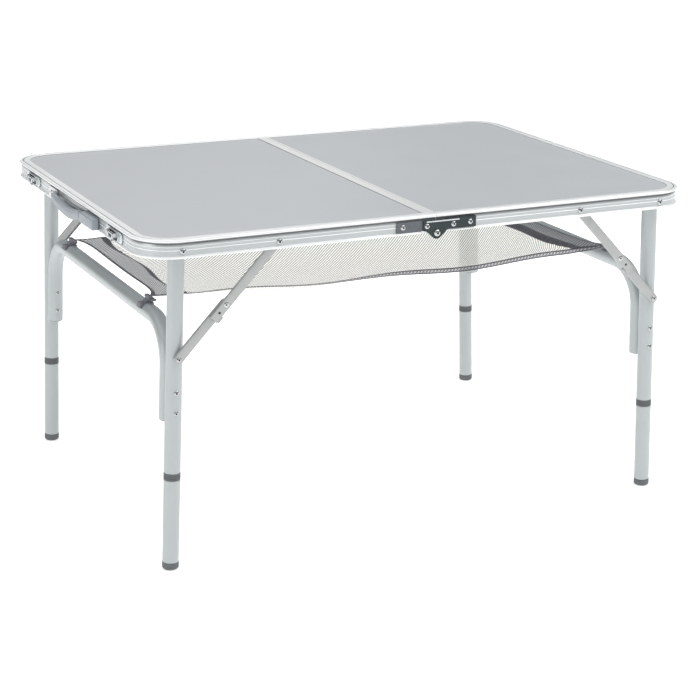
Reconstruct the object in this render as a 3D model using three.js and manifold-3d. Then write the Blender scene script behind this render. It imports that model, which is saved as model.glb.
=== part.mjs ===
// Folding table: two framed leaves on a centre hinge, two swinging leg sets with locking
// braces, plug-in lower legs, a carrying handle, two latches and a hanging net shelf.
// Millimetres, +X along the table, +Z up, floor at z = 0. The handle is on the -X end.

import * as THREE from 'three';
import { mergeVertices } from 'three/addons/utils/BufferGeometryUtils.js';
import Module from 'manifold-3d';

const wasm = await Module();
wasm.setup();

// Driving dimensions

const TABLE_LENGTH = 1200;
const TABLE_DEPTH = 870;
const TABLE_HEIGHT = 660;
const FRAME_HEIGHT = 36;
const CORNER_RADIUS = 80;
const CORNER_STEPS = 6;
const GAP = 0.3;
const SEAM_GAP = 0.5;

const LIP_WIDTH = 22;
const LIP_THICKNESS = 1.2;
const WAIST_RECESS = 4;
const WAIST_LOW = 5.8;
const WAIST_HIGH = 26.6;
const SEAT = 0.7;
const RIDGE = 0.4;
const WALL_INSET = 6.2;
const PANEL_THICKNESS = 3;
const WIDE_STRIP = 20;
const NARROW_STRIP = 6;
const REBATE = 0.6;

const TUBE_RADIUS = 16;
const TUBE_WALL = 1.5;
const TUBE_SIDES = 12;
const PIN_SIDES = 8;
const PIN_GAP = 0.45;
const LEG_X = 521.5;
const LEG_Y = 395;
const LEG_PIVOT_DROP = 22.5;
const LEG_TOP_ABOVE_PIVOT = 7;
const LEG_SPLAY = (2.1 * Math.PI) / 180;

const COLLAR_BOTTOM = 183;
const COLLAR_TOP = 197;
const SPIGOT_RADIUS = 14.2;
const SPIGOT_LENGTH = 26;
const FOOT_HEIGHT = 14;

const CROSS_RUN_Z = 478;
const CROSS_END_Z = 294;
const CROSS_BEND_RADIUS = 80;
const CROSS_BEND_STEPS = 5;
const CROSS_RIVET_HEIGHTS = [359, 319];

const BRACE_REACH = 191.5;
const BRACE_DROP = 210;
const LINK_HALF_WIDTH = 9.5;
const LINK_THICKNESS = 5;
const LINK_WALL = 1.5;
const LINK_OVERRUN = 38;
const UPPER_LINK_Y = 427.6;
const LOWER_LINK_Y = 420.2;

const HINGE_PLATE_REACH = 86;
const HINGE_LOBE_RADIUS = 12;
const HINGE_LOBE_REACH = 30;
const HINGE_PIN_RADIUS = 4.1;
const HINGE_SPACER_START = 18;
const HINGE_NOTCH = 32;

const HANDLE_HALF_SPAN = 92;
const HANDLE_PIVOT_Z = 641;
const HANDLE_PIVOT_OUT = 7;
const HANDLE_COVER_OUT = 13;
const LATCH_Y = 268;

const CLIP_Y = 245;
const CLIP_WIDTH = 22;
const CLIP_TOP = 30;
const NET_REACH = 501;
const NET_EDGE_Z = 505;
const NET_SAG = 40;
const NET_HEM_SAG = 14;
const NET_THICKNESS = 1.2;

// Worked-out places

const HALF_LENGTH = TABLE_LENGTH / 2;
const HALF_DEPTH = TABLE_DEPTH / 2;
const FRAME_BOTTOM = TABLE_HEIGHT - FRAME_HEIGHT;
const LEG_PIVOT_Z = TABLE_HEIGHT - LEG_PIVOT_DROP;
const WAIST_Y = HALF_DEPTH - WAIST_RECESS;
const WALL_INNER_Y = HALF_DEPTH - WALL_INSET;
const PANEL_TOP = TABLE_HEIGHT - LIP_THICKNESS - GAP;
const PANEL_BOTTOM = PANEL_TOP - PANEL_THICKNESS;
const CROSS_Y = LEG_Y - 2 * TUBE_RADIUS - GAP;
const TUBE_BORE = TUBE_RADIUS - TUBE_WALL;
const BRACE_TOP_X = LEG_X - BRACE_REACH;
const BRACE_FOOT_X = LEG_X + BRACE_DROP * Math.sin(LEG_SPLAY);
const BRACE_FOOT_Z = LEG_PIVOT_Z - BRACE_DROP * Math.cos(LEG_SPLAY);
const BRACE_TILT = Math.atan2(LEG_PIVOT_Z - BRACE_FOOT_Z, BRACE_FOOT_X - BRACE_TOP_X);
// Straight when the leg is out, and folded back on itself when the leg lies along the leaf.
const BRACE_LENGTH = Math.hypot(LEG_PIVOT_Z - BRACE_FOOT_Z, BRACE_FOOT_X - BRACE_TOP_X);
const UPPER_LINK_LENGTH = (BRACE_LENGTH + BRACE_DROP - BRACE_REACH) / 2;
const LOWER_LINK_LENGTH = BRACE_LENGTH - UPPER_LINK_LENGTH;

// The whole table is moved so that the middle of its outline, handle included, is at x = 0.
const CENTRE_SHIFT = HANDLE_COVER_OUT / 2;

// Materials

const finish = (color, roughness, metalness) =>
  new THREE.MeshStandardMaterial({ color, roughness, metalness });
const laminate = finish(0xc5c9cd, 0.45, 0.0);
const anodised = finish(0xd9dddf, 0.35, 0.9);
const paintedTube = finish(0xc8cecf, 0.45, 0.3);
const pressedSteel = finish(0xbfc4c6, 0.4, 0.7);
const darkSteel = finish(0x5a646a, 0.45, 0.7);
const rivetMetal = finish(0xe2e4e6, 0.25, 1.0);
const greyPlastic = finish(0x828c96, 0.5, 0.0);
const darkPlastic = finish(0x5b5f66, 0.6, 0.0);
const netCloth = finish(0xe6e3da, 0.9, 0.0);

// Solid-body helpers

function signedVolume(position, index) {
  const a = new THREE.Vector3();
  const b = new THREE.Vector3();
  const c = new THREE.Vector3();
  let volume = 0;
  for (let i = 0; i < index.length; i += 3) {
    a.fromBufferAttribute(position, index[i]);
    b.fromBufferAttribute(position, index[i + 1]);
    c.fromBufferAttribute(position, index[i + 2]);
    volume += a.dot(b.cross(c)) / 6;
  }
  return volume;
}

// One merged, indexed mesh with no collapsed triangles and its faces pointing out.
function closed(geometry) {
  const bare = geometry.clone();
  bare.deleteAttribute('normal');
  bare.deleteAttribute('uv');
  const merged = mergeVertices(bare, 1e-4);
  const source = merged.index.array;
  const kept = [];
  for (let i = 0; i < source.length; i += 3) {
    const [a, b, c] = [source[i], source[i + 1], source[i + 2]];
    if (a !== b && b !== c && c !== a) kept.push(a, b, c);
  }
  if (signedVolume(merged.attributes.position, kept) < 0) kept.reverse();
  const result = new THREE.BufferGeometry();
  result.setAttribute('position', merged.attributes.position);
  result.setIndex(kept);
  return mergeVertices(result, 1e-4);
}

function toSolid(geometry) {
  const mesh = closed(geometry);
  return new wasm.Manifold(new wasm.Mesh({
    numProp: 3,
    vertProperties: new Float32Array(mesh.attributes.position.array),
    triVerts: new Uint32Array(mesh.index.array),
  }));
}

function fromSolid(solid) {
  const mesh = solid.getMesh();
  const result = new THREE.BufferGeometry();
  result.setAttribute('position', new THREE.BufferAttribute(mesh.vertProperties, 3));
  result.setIndex(new THREE.BufferAttribute(mesh.triVerts, 1));
  return result;
}

function join(...geometries) {
  const solids = geometries.map(toSolid);
  return fromSolid(solids.reduce((total, next) => total.add(next)));
}

function cut(geometry, ...tools) {
  const body = toSolid(geometry);
  return fromSolid(tools.map(toSolid).reduce((left, tool) => left.subtract(tool), body));
}

// A copy on the other side of the table: each sign is 1 or -1.
function mirrored(geometry, signX, signY) {
  return closed(geometry.clone().scale(signX, signY, 1));
}

// A skin through matching closed outlines, with its first and last outline filled.
function loft(sections) {
  const count = sections[0].length;
  const positions = sections.flat().flatMap((point) => [point.x, point.y, point.z]);
  const index = [];
  for (let s = 0; s + 1 < sections.length; s += 1) {
    for (let i = 0; i < count; i += 1) {
      const here = s * count + i;
      const next = s * count + ((i + 1) % count);
      index.push(here, next, next + count, here, next + count, here + count);
    }
  }
  const across = new THREE.Vector3().subVectors(sections[0][1], sections[0][0]).normalize();
  const towards = sections[1][0].clone().sub(sections[0][0]).normalize();
  const upward = new THREE.Vector3().crossVectors(towards, across);
  const flat = sections[0].map((point) => new THREE.Vector2(point.dot(across), point.dot(upward)));
  const last = (sections.length - 1) * count;
  const clockwise = THREE.ShapeUtils.area(flat) < 0;
  for (const [a, b, c] of THREE.ShapeUtils.triangulateShape(flat, [])) {
    index.push(...(clockwise ? [a, b, c] : [c, b, a]));
    index.push(...(clockwise ? [c + last, b + last, a + last] : [a + last, b + last, c + last]));
  }
  const result = new THREE.BufferGeometry();
  result.setAttribute('position', new THREE.Float32BufferAttribute(positions, 3));
  result.setIndex(index);
  return closed(result);
}

// A turned body whose axis is world Z.
function turnedZ(profile, sides = TUBE_SIDES) {
  const points = profile.map(([radius, z]) => new THREE.Vector2(radius, z));
  return new THREE.LatheGeometry(points, sides).rotateX(Math.PI / 2);
}

// A turned body whose axis is world Y.
function turnedY(profile, sides = PIN_SIDES) {
  const points = profile.map(([radius, y]) => new THREE.Vector2(radius, y));
  return new THREE.LatheGeometry(points, sides);
}

function pinY(radius, fromY, toY, x, z, sides = PIN_SIDES) {
  const pin = turnedY([[0, fromY], [radius, fromY], [radius, toY], [0, toY]], sides);
  return pin.translate(x, 0, z);
}

// A plate outlined in x and z, from one y to another.
function plateXZ(shape, fromY, toY, curveSegments = 4) {
  const depth = Math.abs(toY - fromY);
  const plate = new THREE.ExtrudeGeometry(shape, { depth, bevelEnabled: false, curveSegments });
  return plate.rotateX(Math.PI / 2).translate(0, Math.max(fromY, toY), 0);
}

function box(x0, x1, y0, y1, z0, z1) {
  const body = new THREE.BoxGeometry(x1 - x0, y1 - y0, z1 - z0);
  return body.translate((x0 + x1) / 2, (y0 + y1) / 2, (z0 + z1) / 2);
}

function roundedRectangle(x0, x1, y0, y1, radius) {
  const shape = new THREE.Shape();
  shape.moveTo(x0 + radius, y0);
  shape.lineTo(x1 - radius, y0);
  shape.absarc(x1 - radius, y0 + radius, radius, -Math.PI / 2, 0);
  shape.lineTo(x1, y1 - radius);
  shape.absarc(x1 - radius, y1 - radius, radius, 0, Math.PI / 2);
  shape.lineTo(x0 + radius, y1);
  shape.absarc(x0 + radius, y1 - radius, radius, Math.PI / 2, Math.PI);
  shape.lineTo(x0, y0 + radius);
  shape.absarc(x0 + radius, y0 + radius, radius, Math.PI, 1.5 * Math.PI);
  return shape;
}

const table = new THREE.Group();
table.position.x = CENTRE_SHIFT;

function add(name, geometry, material) {
  const mesh = new THREE.Mesh(closed(geometry), material.clone());
  mesh.name = name;
  table.add(mesh);
}

const SIDES = [['left', -1], ['right', 1]];
const FACES = [['front', -1], ['rear', 1]];

// Leaf frames: one extruded rail bent round three sides of each leaf. The outline is the
// rail's cross-section: how far in from the outer edge, and the height.
const RAIL_OUTLINE = [
  [LIP_WIDTH, -LIP_THICKNESS], [LIP_WIDTH, -0.4], [LIP_WIDTH - 0.8, 0], [2.5, 0], [0.6, -1],
  [0, -3.5], [1, -6.2], [WAIST_RECESS + 0.8, -7.4], [WAIST_RECESS + 0.8, -8.4],
  [WAIST_RECESS, -9], [WAIST_RECESS, -19], [WAIST_RECESS - RIDGE, -19.4],
  [WAIST_RECESS - RIDGE, -20.6], [WAIST_RECESS, -21], [WAIST_RECESS, -30.6],
  [1.4, -31.8], [0.4, -33.8], [1.8, -FRAME_HEIGHT], [WALL_INSET, -FRAME_HEIGHT],
  [WALL_INSET, -LIP_THICKNESS],
];

function railStations() {
  const stations = [];
  const arcX = HALF_LENGTH - CORNER_RADIUS;
  const arcY = HALF_DEPTH - CORNER_RADIUS;
  stations.push({ x: SEAM_GAP, y: -HALF_DEPTH, angle: -Math.PI / 2 });
  for (const [side, start] of [[-1, -Math.PI / 2], [1, 0]]) {
    for (let step = 0; step <= CORNER_STEPS; step += 1) {
      const angle = start + (step / CORNER_STEPS) * (Math.PI / 2);
      stations.push({
        x: arcX + CORNER_RADIUS * Math.cos(angle),
        y: side * arcY + CORNER_RADIUS * Math.sin(angle),
        angle,
      });
    }
  }
  stations.push({ x: SEAM_GAP, y: HALF_DEPTH, angle: Math.PI / 2 });
  return stations;
}

function railSection({ x, y, angle }) {
  return RAIL_OUTLINE.map(([inward, height]) => new THREE.Vector3(
    x - inward * Math.cos(angle),
    y - inward * Math.sin(angle),
    TABLE_HEIGHT + height,
  ));
}

function frameRail() {
  const rail = loft(railStations().map(railSection));
  const holes = [];
  for (const [, face] of FACES) {
    holes.push(pinY(4 + PIN_GAP, face * 400, face * 450, LEG_X, LEG_PIVOT_Z));
    holes.push(pinY(3.5 + PIN_GAP, face * 400, face * 450, BRACE_TOP_X, LEG_PIVOT_Z));
    holes.push(pinY(HINGE_LOBE_RADIUS - 3, face * 400, face * 450, 0, FRAME_BOTTOM, 12));
    const [near, far] = face < 0 ? [-HALF_DEPTH - 5, -WAIST_Y] : [WAIST_Y, HALF_DEPTH + 5];
    holes.push(box(0, HINGE_NOTCH, near, far, FRAME_BOTTOM - 5, FRAME_BOTTOM + WAIST_LOW));
  }
  return cut(rail, ...holes);
}

// One layer of a leaf's board: its distance in from the rail's outer edge, where it starts
// beside the joint, and its height.
function boardLayer(edge, x0, low, high) {
  const radius = CORNER_RADIUS - edge;
  const x1 = HALF_LENGTH - edge;
  const y1 = HALF_DEPTH - edge;
  const shape = new THREE.Shape();
  shape.moveTo(x0, -y1);
  shape.lineTo(x1 - radius, -y1);
  shape.absarc(x1 - radius, -y1 + radius, radius, -Math.PI / 2, 0);
  shape.lineTo(x1, y1 - radius);
  shape.absarc(x1 - radius, y1 - radius, radius, 0, Math.PI / 2);
  shape.lineTo(x0, y1);
  const settings = { depth: high - low, bevelEnabled: false, curveSegments: CORNER_STEPS / 2 };
  return new THREE.ExtrudeGeometry(shape, settings).translate(0, 0, low);
}

// The board is rebated under the rail's lip and the seam strip.
function leafPanel(stripWidth) {
  const step = PANEL_TOP - REBATE;
  const base = boardLayer(WALL_INSET + GAP, SEAM_GAP + 1.5 + GAP, PANEL_BOTTOM, step);
  const face = boardLayer(LIP_WIDTH + GAP, stripWidth + GAP, step - 1, PANEL_TOP);
  return join(base, face);
}

// A flat cap over the panel's inner edge, with a web down the joint.
function seamStrip(width) {
  const end = HALF_DEPTH - LIP_WIDTH - GAP;
  const cap = box(SEAM_GAP, width, -end, end, TABLE_HEIGHT - LIP_THICKNESS, TABLE_HEIGHT);
  const web = box(SEAM_GAP, SEAM_GAP + 1.5, -end, end, PANEL_BOTTOM, TABLE_HEIGHT - 0.5);
  return join(cap, web);
}

for (const [side, sign] of SIDES) {
  add(`frame_${side}`, mirrored(frameRail(), sign, 1), anodised);
  const width = side === 'left' ? WIDE_STRIP : NARROW_STRIP;
  add(`panel_${side}`, mirrored(leafPanel(width), sign, 1), laminate);
  add(`seam_strip_${side}`, mirrored(seamStrip(width), sign, 1), anodised);
}

// Centre hinges: an inner plate on the left leaf and an outer plate on the right leaf
// share a pin level with the frame's lower edge.
const INNER_PLATE_Y = [WAIST_Y + SEAT, WAIST_Y + 3.6];
const OUTER_PLATE_Y = [HALF_DEPTH + GAP, HALF_DEPTH + 2.5];
const PIN_HEAD_Y = HALF_DEPTH + 4.6;
const PLATE_LOW = FRAME_BOTTOM + WAIST_LOW;
const PLATE_HIGH = FRAME_BOTTOM + WAIST_HIGH;
const HINGE_RIVETS_LEFT = [-73, -22];
const HINGE_RIVETS_RIGHT = [36, 73];

function domeOnY(radius, y, height, x, z) {
  const profile = [[0, y - 0.4], [radius, y - 0.4], [radius, y], [radius * 0.75, y + height * 0.7]];
  return turnedY([...profile, [0, y + height]]).translate(x, 0, z);
}

// The part of a plate that hangs round the pin, with straight flanks that meet the arc.
function hingeLobe() {
  const side = HINGE_LOBE_REACH;
  const shape = new THREE.Shape();
  shape.moveTo(side, PLATE_LOW + 2);
  shape.lineTo(side, PLATE_LOW);
  shape.absarc(0, FRAME_BOTTOM, HINGE_LOBE_RADIUS, -0.98, -2.16, true);
  shape.lineTo(-side, PLATE_LOW);
  shape.lineTo(-side, PLATE_LOW + 2);
  return shape;
}

function innerHingePlate() {
  const bar = box(-HINGE_PLATE_REACH, -2, ...INNER_PLATE_Y, PLATE_LOW, PLATE_HIGH);
  const lobe = plateXZ(hingeLobe(), ...INNER_PLATE_Y);
  const clearance = box(-1, 60, ...INNER_PLATE_Y, PLATE_LOW - 4, PLATE_HIGH + 5);
  const flank = box(HINGE_LOBE_RADIUS - 1, 60, ...INNER_PLATE_Y, FRAME_BOTTOM - 20, PLATE_HIGH);
  const heads = HINGE_RIVETS_LEFT.slice(0, 1).map((x) => {
    return domeOnY(5, INNER_PLATE_Y[1], 2, x, (PLATE_LOW + PLATE_HIGH) / 2 + 1);
  });
  const bore = pinY(HINGE_PIN_RADIUS + PIN_GAP, 400, 450, 0, FRAME_BOTTOM, 12);
  const body = cut(join(bar, lobe), clearance, flank, bore);
  return join(body, ...heads);
}

function outerHingePlate() {
  const bar = box(-HINGE_LOBE_REACH, HINGE_PLATE_REACH, ...OUTER_PLATE_Y, PLATE_LOW, PLATE_HIGH);
  const lobe = plateXZ(hingeLobe(), ...OUTER_PLATE_Y);
  const spacer = box(HINGE_SPACER_START, HINGE_PLATE_REACH, INNER_PLATE_Y[0], HALF_DEPTH + 1,
    PLATE_LOW, PLATE_HIGH);
  const flange = box(-28, 34, OUTER_PLATE_Y[0], OUTER_PLATE_Y[1] + 2.2, PLATE_HIGH - 1.6, PLATE_HIGH);
  const heads = [HINGE_RIVETS_LEFT[1], ...HINGE_RIVETS_RIGHT].map((x) => {
    return domeOnY(5, OUTER_PLATE_Y[1], 2, x, (PLATE_LOW + PLATE_HIGH) / 2);
  });
  const bore = pinY(HINGE_PIN_RADIUS + PIN_GAP, 400, 450, 0, FRAME_BOTTOM);
  const body = cut(join(bar, lobe, spacer), bore);
  return join(body, flange, ...heads);
}

function hingePin() {
  return turnedY([
    [0, INNER_PLATE_Y[0] - 2], [6.5, INNER_PLATE_Y[0] - 2], [6.5, INNER_PLATE_Y[0] - GAP],
    [HINGE_PIN_RADIUS, INNER_PLATE_Y[0] - GAP], [HINGE_PIN_RADIUS, OUTER_PLATE_Y[1] + GAP],
    [7, OUTER_PLATE_Y[1] + GAP],
    [5, PIN_HEAD_Y], [0, PIN_HEAD_Y + 0.4],
  ]).translate(0, 0, FRAME_BOTTOM);
}

for (const [face, sign] of FACES) {
  add(`hinge_plate_left_${face}`, mirrored(innerHingePlate(), 1, sign), darkSteel);
  add(`hinge_plate_right_${face}`, mirrored(outerHingePlate(), 1, sign), darkSteel);
  add(`hinge_pin_${face}`, mirrored(hingePin(), 1, sign), rivetMetal);
}

// Rivets that hold the legs and the braces to the frame.
function legPivot() {
  const inner = LEG_Y - TUBE_RADIUS;
  return turnedY([
    [0, inner - 2], [6, inner - 2], [6, inner - GAP], [4, inner - GAP],
    [4, LEG_Y + TUBE_RADIUS + GAP], [7, LEG_Y + TUBE_RADIUS + GAP], [7, WALL_INNER_Y - 2.6],
    [4, WALL_INNER_Y - 2.6], [4, WAIST_Y + GAP + 0.9], [6, WAIST_Y + GAP + 0.9],
    [4.6, WAIST_Y + 2.8], [0, WAIST_Y + 3.5],
  ]).translate(LEG_X, 0, LEG_PIVOT_Z);
}

function bracePivot() {
  const linkInner = UPPER_LINK_Y - LINK_WALL;
  return turnedY([
    [0, linkInner - 2.4], [5.5, linkInner - 2.4], [5.5, linkInner - GAP], [3.5, linkInner - GAP],
    [3.5, WAIST_Y + GAP + 0.9], [6, WAIST_Y + GAP + 0.9], [4.6, WAIST_Y + 2.8], [0, WAIST_Y + 3.5],
  ]).translate(BRACE_TOP_X, 0, LEG_PIVOT_Z);
}

// Leg sets: two tubes joined by a bent cross tube. The rivets that hold the cross tube are
// part of each leg. Each piece is drawn with its leg straight down, then splayed.
function splayed(geometry) {
  const centred = geometry.translate(-LEG_X, 0, -LEG_PIVOT_Z);
  return centred.rotateY(-LEG_SPLAY).translate(LEG_X, 0, LEG_PIVOT_Z);
}

function upperLeg() {
  const top = LEG_PIVOT_Z + LEG_TOP_ABOVE_PIVOT;
  const bottom = COLLAR_TOP + GAP;
  const tube = turnedZ([
    [TUBE_BORE, bottom], [TUBE_RADIUS, bottom], [TUBE_RADIUS, top], [TUBE_BORE, top],
    [TUBE_BORE, bottom],
  ]).translate(LEG_X, LEG_Y, 0);
  const inside = LEG_Y - TUBE_RADIUS;
  const holes = [
    pinY(4 + PIN_GAP, LEG_Y - 30, LEG_Y + 30, LEG_X, LEG_PIVOT_Z),
    pinY(3 + PIN_GAP, LEG_Y + 5, LEG_Y + 30, LEG_X, LEG_PIVOT_Z - BRACE_DROP),
  ];
  const rivets = CROSS_RIVET_HEIGHTS.map((z) => turnedY([
    [0, inside - 4], [3, inside - 4], [3, LEG_Y + TUBE_RADIUS - 0.4],
    [5.2, LEG_Y + TUBE_RADIUS - 0.4], [4, LEG_Y + TUBE_RADIUS + 1.6],
    [0, LEG_Y + TUBE_RADIUS + 2.2],
  ]).translate(LEG_X, 0, z));
  return join(cut(tube, ...holes), ...rivets);
}

function crossRoute() {
  const bendY = CROSS_Y - CROSS_BEND_RADIUS;
  const bendZ = CROSS_RUN_Z - CROSS_BEND_RADIUS;
  const stations = [{ y: CROSS_Y, z: CROSS_END_Z, angle: 0 }];
  for (const [start, side] of [[0, 1], [Math.PI / 2, -1]]) {
    for (let step = 0; step <= CROSS_BEND_STEPS; step += 1) {
      const angle = start + (step / CROSS_BEND_STEPS) * (Math.PI / 2);
      stations.push({
        y: side * bendY + CROSS_BEND_RADIUS * Math.cos(angle),
        z: bendZ + CROSS_BEND_RADIUS * Math.sin(angle),
        angle,
      });
    }
  }
  stations.push({ y: -CROSS_Y, z: CROSS_END_Z, angle: Math.PI });
  return stations;
}

function crossSkin(radius, overrun) {
  const route = crossRoute();
  route[0].z -= overrun;
  route[route.length - 1].z -= overrun;
  const sides = TUBE_SIDES;
  return loft(route.map(({ y, z, angle }) => {
    const ring = [];
    for (let side = 0; side < sides; side += 1) {
      const turn = (side / sides) * 2 * Math.PI;
      const outward = radius * Math.cos(turn);
      ring.push(new THREE.Vector3(
        LEG_X + radius * Math.sin(turn),
        y + outward * Math.cos(angle),
        z + outward * Math.sin(angle),
      ));
    }
    return ring;
  }));
}

function crossTube() {
  const holes = [];
  for (const [, face] of FACES) {
    for (const z of CROSS_RIVET_HEIGHTS) {
      holes.push(pinY(3 + GAP, face * (CROSS_Y + 5), face * (CROSS_Y + 30), LEG_X, z));
    }
  }
  return cut(crossSkin(TUBE_RADIUS, 0), crossSkin(TUBE_BORE, 5), ...holes);
}

// Lower legs: a tube, a collar that plugs into both tubes, and a foot.
function lowerLeg() {
  const top = COLLAR_BOTTOM - GAP;
  const bottom = FOOT_HEIGHT + GAP;
  return turnedZ([
    [TUBE_BORE, bottom], [TUBE_RADIUS, bottom], [TUBE_RADIUS, top], [TUBE_BORE, top],
    [TUBE_BORE, bottom],
  ]).translate(LEG_X, LEG_Y, 0);
}

function collar() {
  const rim = TUBE_RADIUS + 0.3;
  return turnedZ([
    [0, COLLAR_BOTTOM - SPIGOT_LENGTH], [SPIGOT_RADIUS, COLLAR_BOTTOM - SPIGOT_LENGTH],
    [SPIGOT_RADIUS, COLLAR_BOTTOM], [rim, COLLAR_BOTTOM], [rim, COLLAR_TOP],
    [SPIGOT_RADIUS, COLLAR_TOP],
    [SPIGOT_RADIUS, COLLAR_TOP + SPIGOT_LENGTH], [0, COLLAR_TOP + SPIGOT_LENGTH],
  ]).translate(LEG_X, LEG_Y, 0);
}

// The foot is trimmed level, so that the splayed leg stands flat.
function foot() {
  const rim = TUBE_RADIUS + 0.4;
  const cap = turnedZ([
    [0, -3], [rim - 1.5, -3], [rim - 1.5, 1], [rim, 2.5], [rim, FOOT_HEIGHT],
    [SPIGOT_RADIUS, FOOT_HEIGHT], [SPIGOT_RADIUS, FOOT_HEIGHT + SPIGOT_LENGTH],
    [0, FOOT_HEIGHT + SPIGOT_LENGTH],
  ]).translate(LEG_X, LEG_Y, 0);
  const ground = box(0, TABLE_LENGTH, 0, TABLE_DEPTH, -FOOT_HEIGHT, 0);
  return cut(splayed(cap), ground);
}

// Braces: pressed channel links. A link is drawn from its first hole along +X, then turned
// and moved into place. Its elbow or leg rivet is part of it. The elbow is the pivot that is
// left open: its rivet ends just clear of the lower link's hole.
function linkOutline(length, overrun, halfWidth) {
  const shape = new THREE.Shape();
  shape.absarc(0, 0, halfWidth, Math.PI / 2, 1.5 * Math.PI);
  if (overrun > 0) {
    shape.lineTo(length + overrun, -halfWidth);
    shape.lineTo(length + overrun, halfWidth);
  } else {
    shape.absarc(length, 0, halfWidth, -Math.PI / 2, Math.PI / 2);
  }
  return shape;
}

function channelLink(length, overrun, outerY) {
  const innerOverrun = Math.max(overrun + 1, 0);
  const inset = LINK_HALF_WIDTH - LINK_WALL;
  const body = plateXZ(linkOutline(length, overrun, LINK_HALF_WIDTH), outerY - LINK_THICKNESS, outerY);
  const hollow = linkOutline(length, overrun > 0 ? innerOverrun : 0, inset);
  return cut(body, plateXZ(hollow, outerY - LINK_THICKNESS - 1, outerY - LINK_WALL));
}

function placeLink(geometry, x, z, angle) {
  return geometry.rotateY(-angle).translate(x, 0, z);
}

function upperLink() {
  const webInner = UPPER_LINK_Y - LINK_WALL;
  const channel = cut(
    channelLink(UPPER_LINK_LENGTH, LINK_OVERRUN, UPPER_LINK_Y),
    pinY(3.5 + PIN_GAP, UPPER_LINK_Y - 10, UPPER_LINK_Y + 2, 0, 0),
    pinY(2.4, UPPER_LINK_Y - 10, UPPER_LINK_Y + 2, UPPER_LINK_LENGTH + 20, 0, 6),
  );
  const tab = box(UPPER_LINK_LENGTH + 22, UPPER_LINK_LENGTH + 36, UPPER_LINK_Y - LINK_THICKNESS,
    UPPER_LINK_Y - 0.5, -LINK_HALF_WIDTH - 3.5, -LINK_HALF_WIDTH + 1);
  const rivet = turnedY([
    [0, LOWER_LINK_Y + GAP], [5, LOWER_LINK_Y + GAP], [5, webInner + 0.5],
    [5.2, UPPER_LINK_Y - 0.2], [4.4, UPPER_LINK_Y + 0.6], [0, UPPER_LINK_Y + 0.8],
  ]).translate(UPPER_LINK_LENGTH, 0, 0);
  return placeLink(join(channel, tab, rivet), BRACE_TOP_X, LEG_PIVOT_Z, -BRACE_TILT);
}

function lowerLink() {
  const legFace = LEG_Y + TUBE_RADIUS;
  const channel = cut(
    channelLink(LOWER_LINK_LENGTH, 0, LOWER_LINK_Y),
    pinY(3 + GAP, LOWER_LINK_Y - 10, LOWER_LINK_Y + 2, LOWER_LINK_LENGTH, 0),
  );
  const rivet = turnedY([
    [0, legFace - 3], [3, legFace - 3], [3, legFace + GAP], [5, legFace + GAP],
    [5, LOWER_LINK_Y - 0.5], [5.2, LOWER_LINK_Y - 0.2], [4.2, LOWER_LINK_Y + 1.2],
    [0, LOWER_LINK_Y + 1.6],
  ]);
  return placeLink(join(channel, rivet), BRACE_FOOT_X, BRACE_FOOT_Z, Math.PI - BRACE_TILT);
}

for (const [side, signX] of SIDES) {
  add(`cross_tube_${side}`, mirrored(splayed(crossTube()), signX, 1), paintedTube);
  for (const [face, signY] of FACES) {
    const place = `${side}_${face}`;
    const put = (name, geometry, material) => {
      add(`${name}_${place}`, mirrored(geometry, signX, signY), material);
    };
    put('leg_pivot', legPivot(), rivetMetal);
    put('brace_pivot', bracePivot(), rivetMetal);
    put('upper_leg', splayed(upperLeg()), paintedTube);
    put('lower_leg', splayed(lowerLeg()), paintedTube);
    put('leg_collar', splayed(collar()), darkPlastic);
    put('foot', foot(), darkPlastic);
    put('brace_upper', upperLink(), pressedSteel);
    put('brace_lower', lowerLink(), pressedSteel);
    put('net_clip', splayed(netClip()), darkPlastic);
  }
}

// Net clips: a saddle over the outer side of the cross tube, with a hook for the net on top.
function netClip() {
  const inner = TUBE_RADIUS + GAP;
  const outer = TUBE_RADIUS + 3.2;
  const saddle = new THREE.Shape();
  saddle.absarc(0, 0, outer, -Math.PI / 3, (Math.PI / 180) * 110, false);
  saddle.absarc(0, 0, inner, (Math.PI / 180) * 110, -Math.PI / 3, true);
  const post = box(-12, 7, -CLIP_WIDTH / 2, CLIP_WIDTH / 2, outer - 1.2, CLIP_TOP - 4);
  const hook = box(-14, -4, -5, 5, CLIP_TOP - 6, CLIP_TOP);
  const arc = plateXZ(saddle, -CLIP_WIDTH / 2, CLIP_WIDTH / 2, 5);
  return join(arc, post, hook).translate(LEG_X, CLIP_Y, CROSS_RUN_Z);
}

// Carrying handle on the left end: a bow that swings between a riveted plate and a cover.
const END_X = -HALF_LENGTH;
const HANDLE_X = END_X - HANDLE_PIVOT_OUT;

function handleGrip() {
  const sections = [];
  const steps = 10;
  const sides = 8;
  for (let step = 0; step <= steps; step += 1) {
    const along = -1 + (2 * step) / steps;
    const bow = 1 - along * along;
    const middle = HANDLE_PIVOT_Z - 1 - 12 * bow;
    const halfHeight = 8.5 + 3 * bow;
    const halfThickness = 5;
    const ring = [];
    for (let side = 0; side < sides; side += 1) {
      const turn = ((side + 0.5) / sides) * 2 * Math.PI;
      const across = Math.sign(Math.cos(turn)) * Math.abs(Math.cos(turn)) ** 0.5;
      const upward = Math.sign(Math.sin(turn)) * Math.abs(Math.sin(turn)) ** 0.5;
      ring.push(new THREE.Vector3(
        HANDLE_X + halfThickness * across,
        along * HANDLE_HALF_SPAN,
        middle + halfHeight * upward,
      ));
    }
    sections.push(ring);
  }
  const pins = [-1, 1].map((end) => {
    const from = end * (HANDLE_HALF_SPAN - 4);
    return pinY(3.5, from, end * (HANDLE_HALF_SPAN + 12), HANDLE_X, HANDLE_PIVOT_Z);
  });
  return join(loft(sections), ...pins);
}

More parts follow.
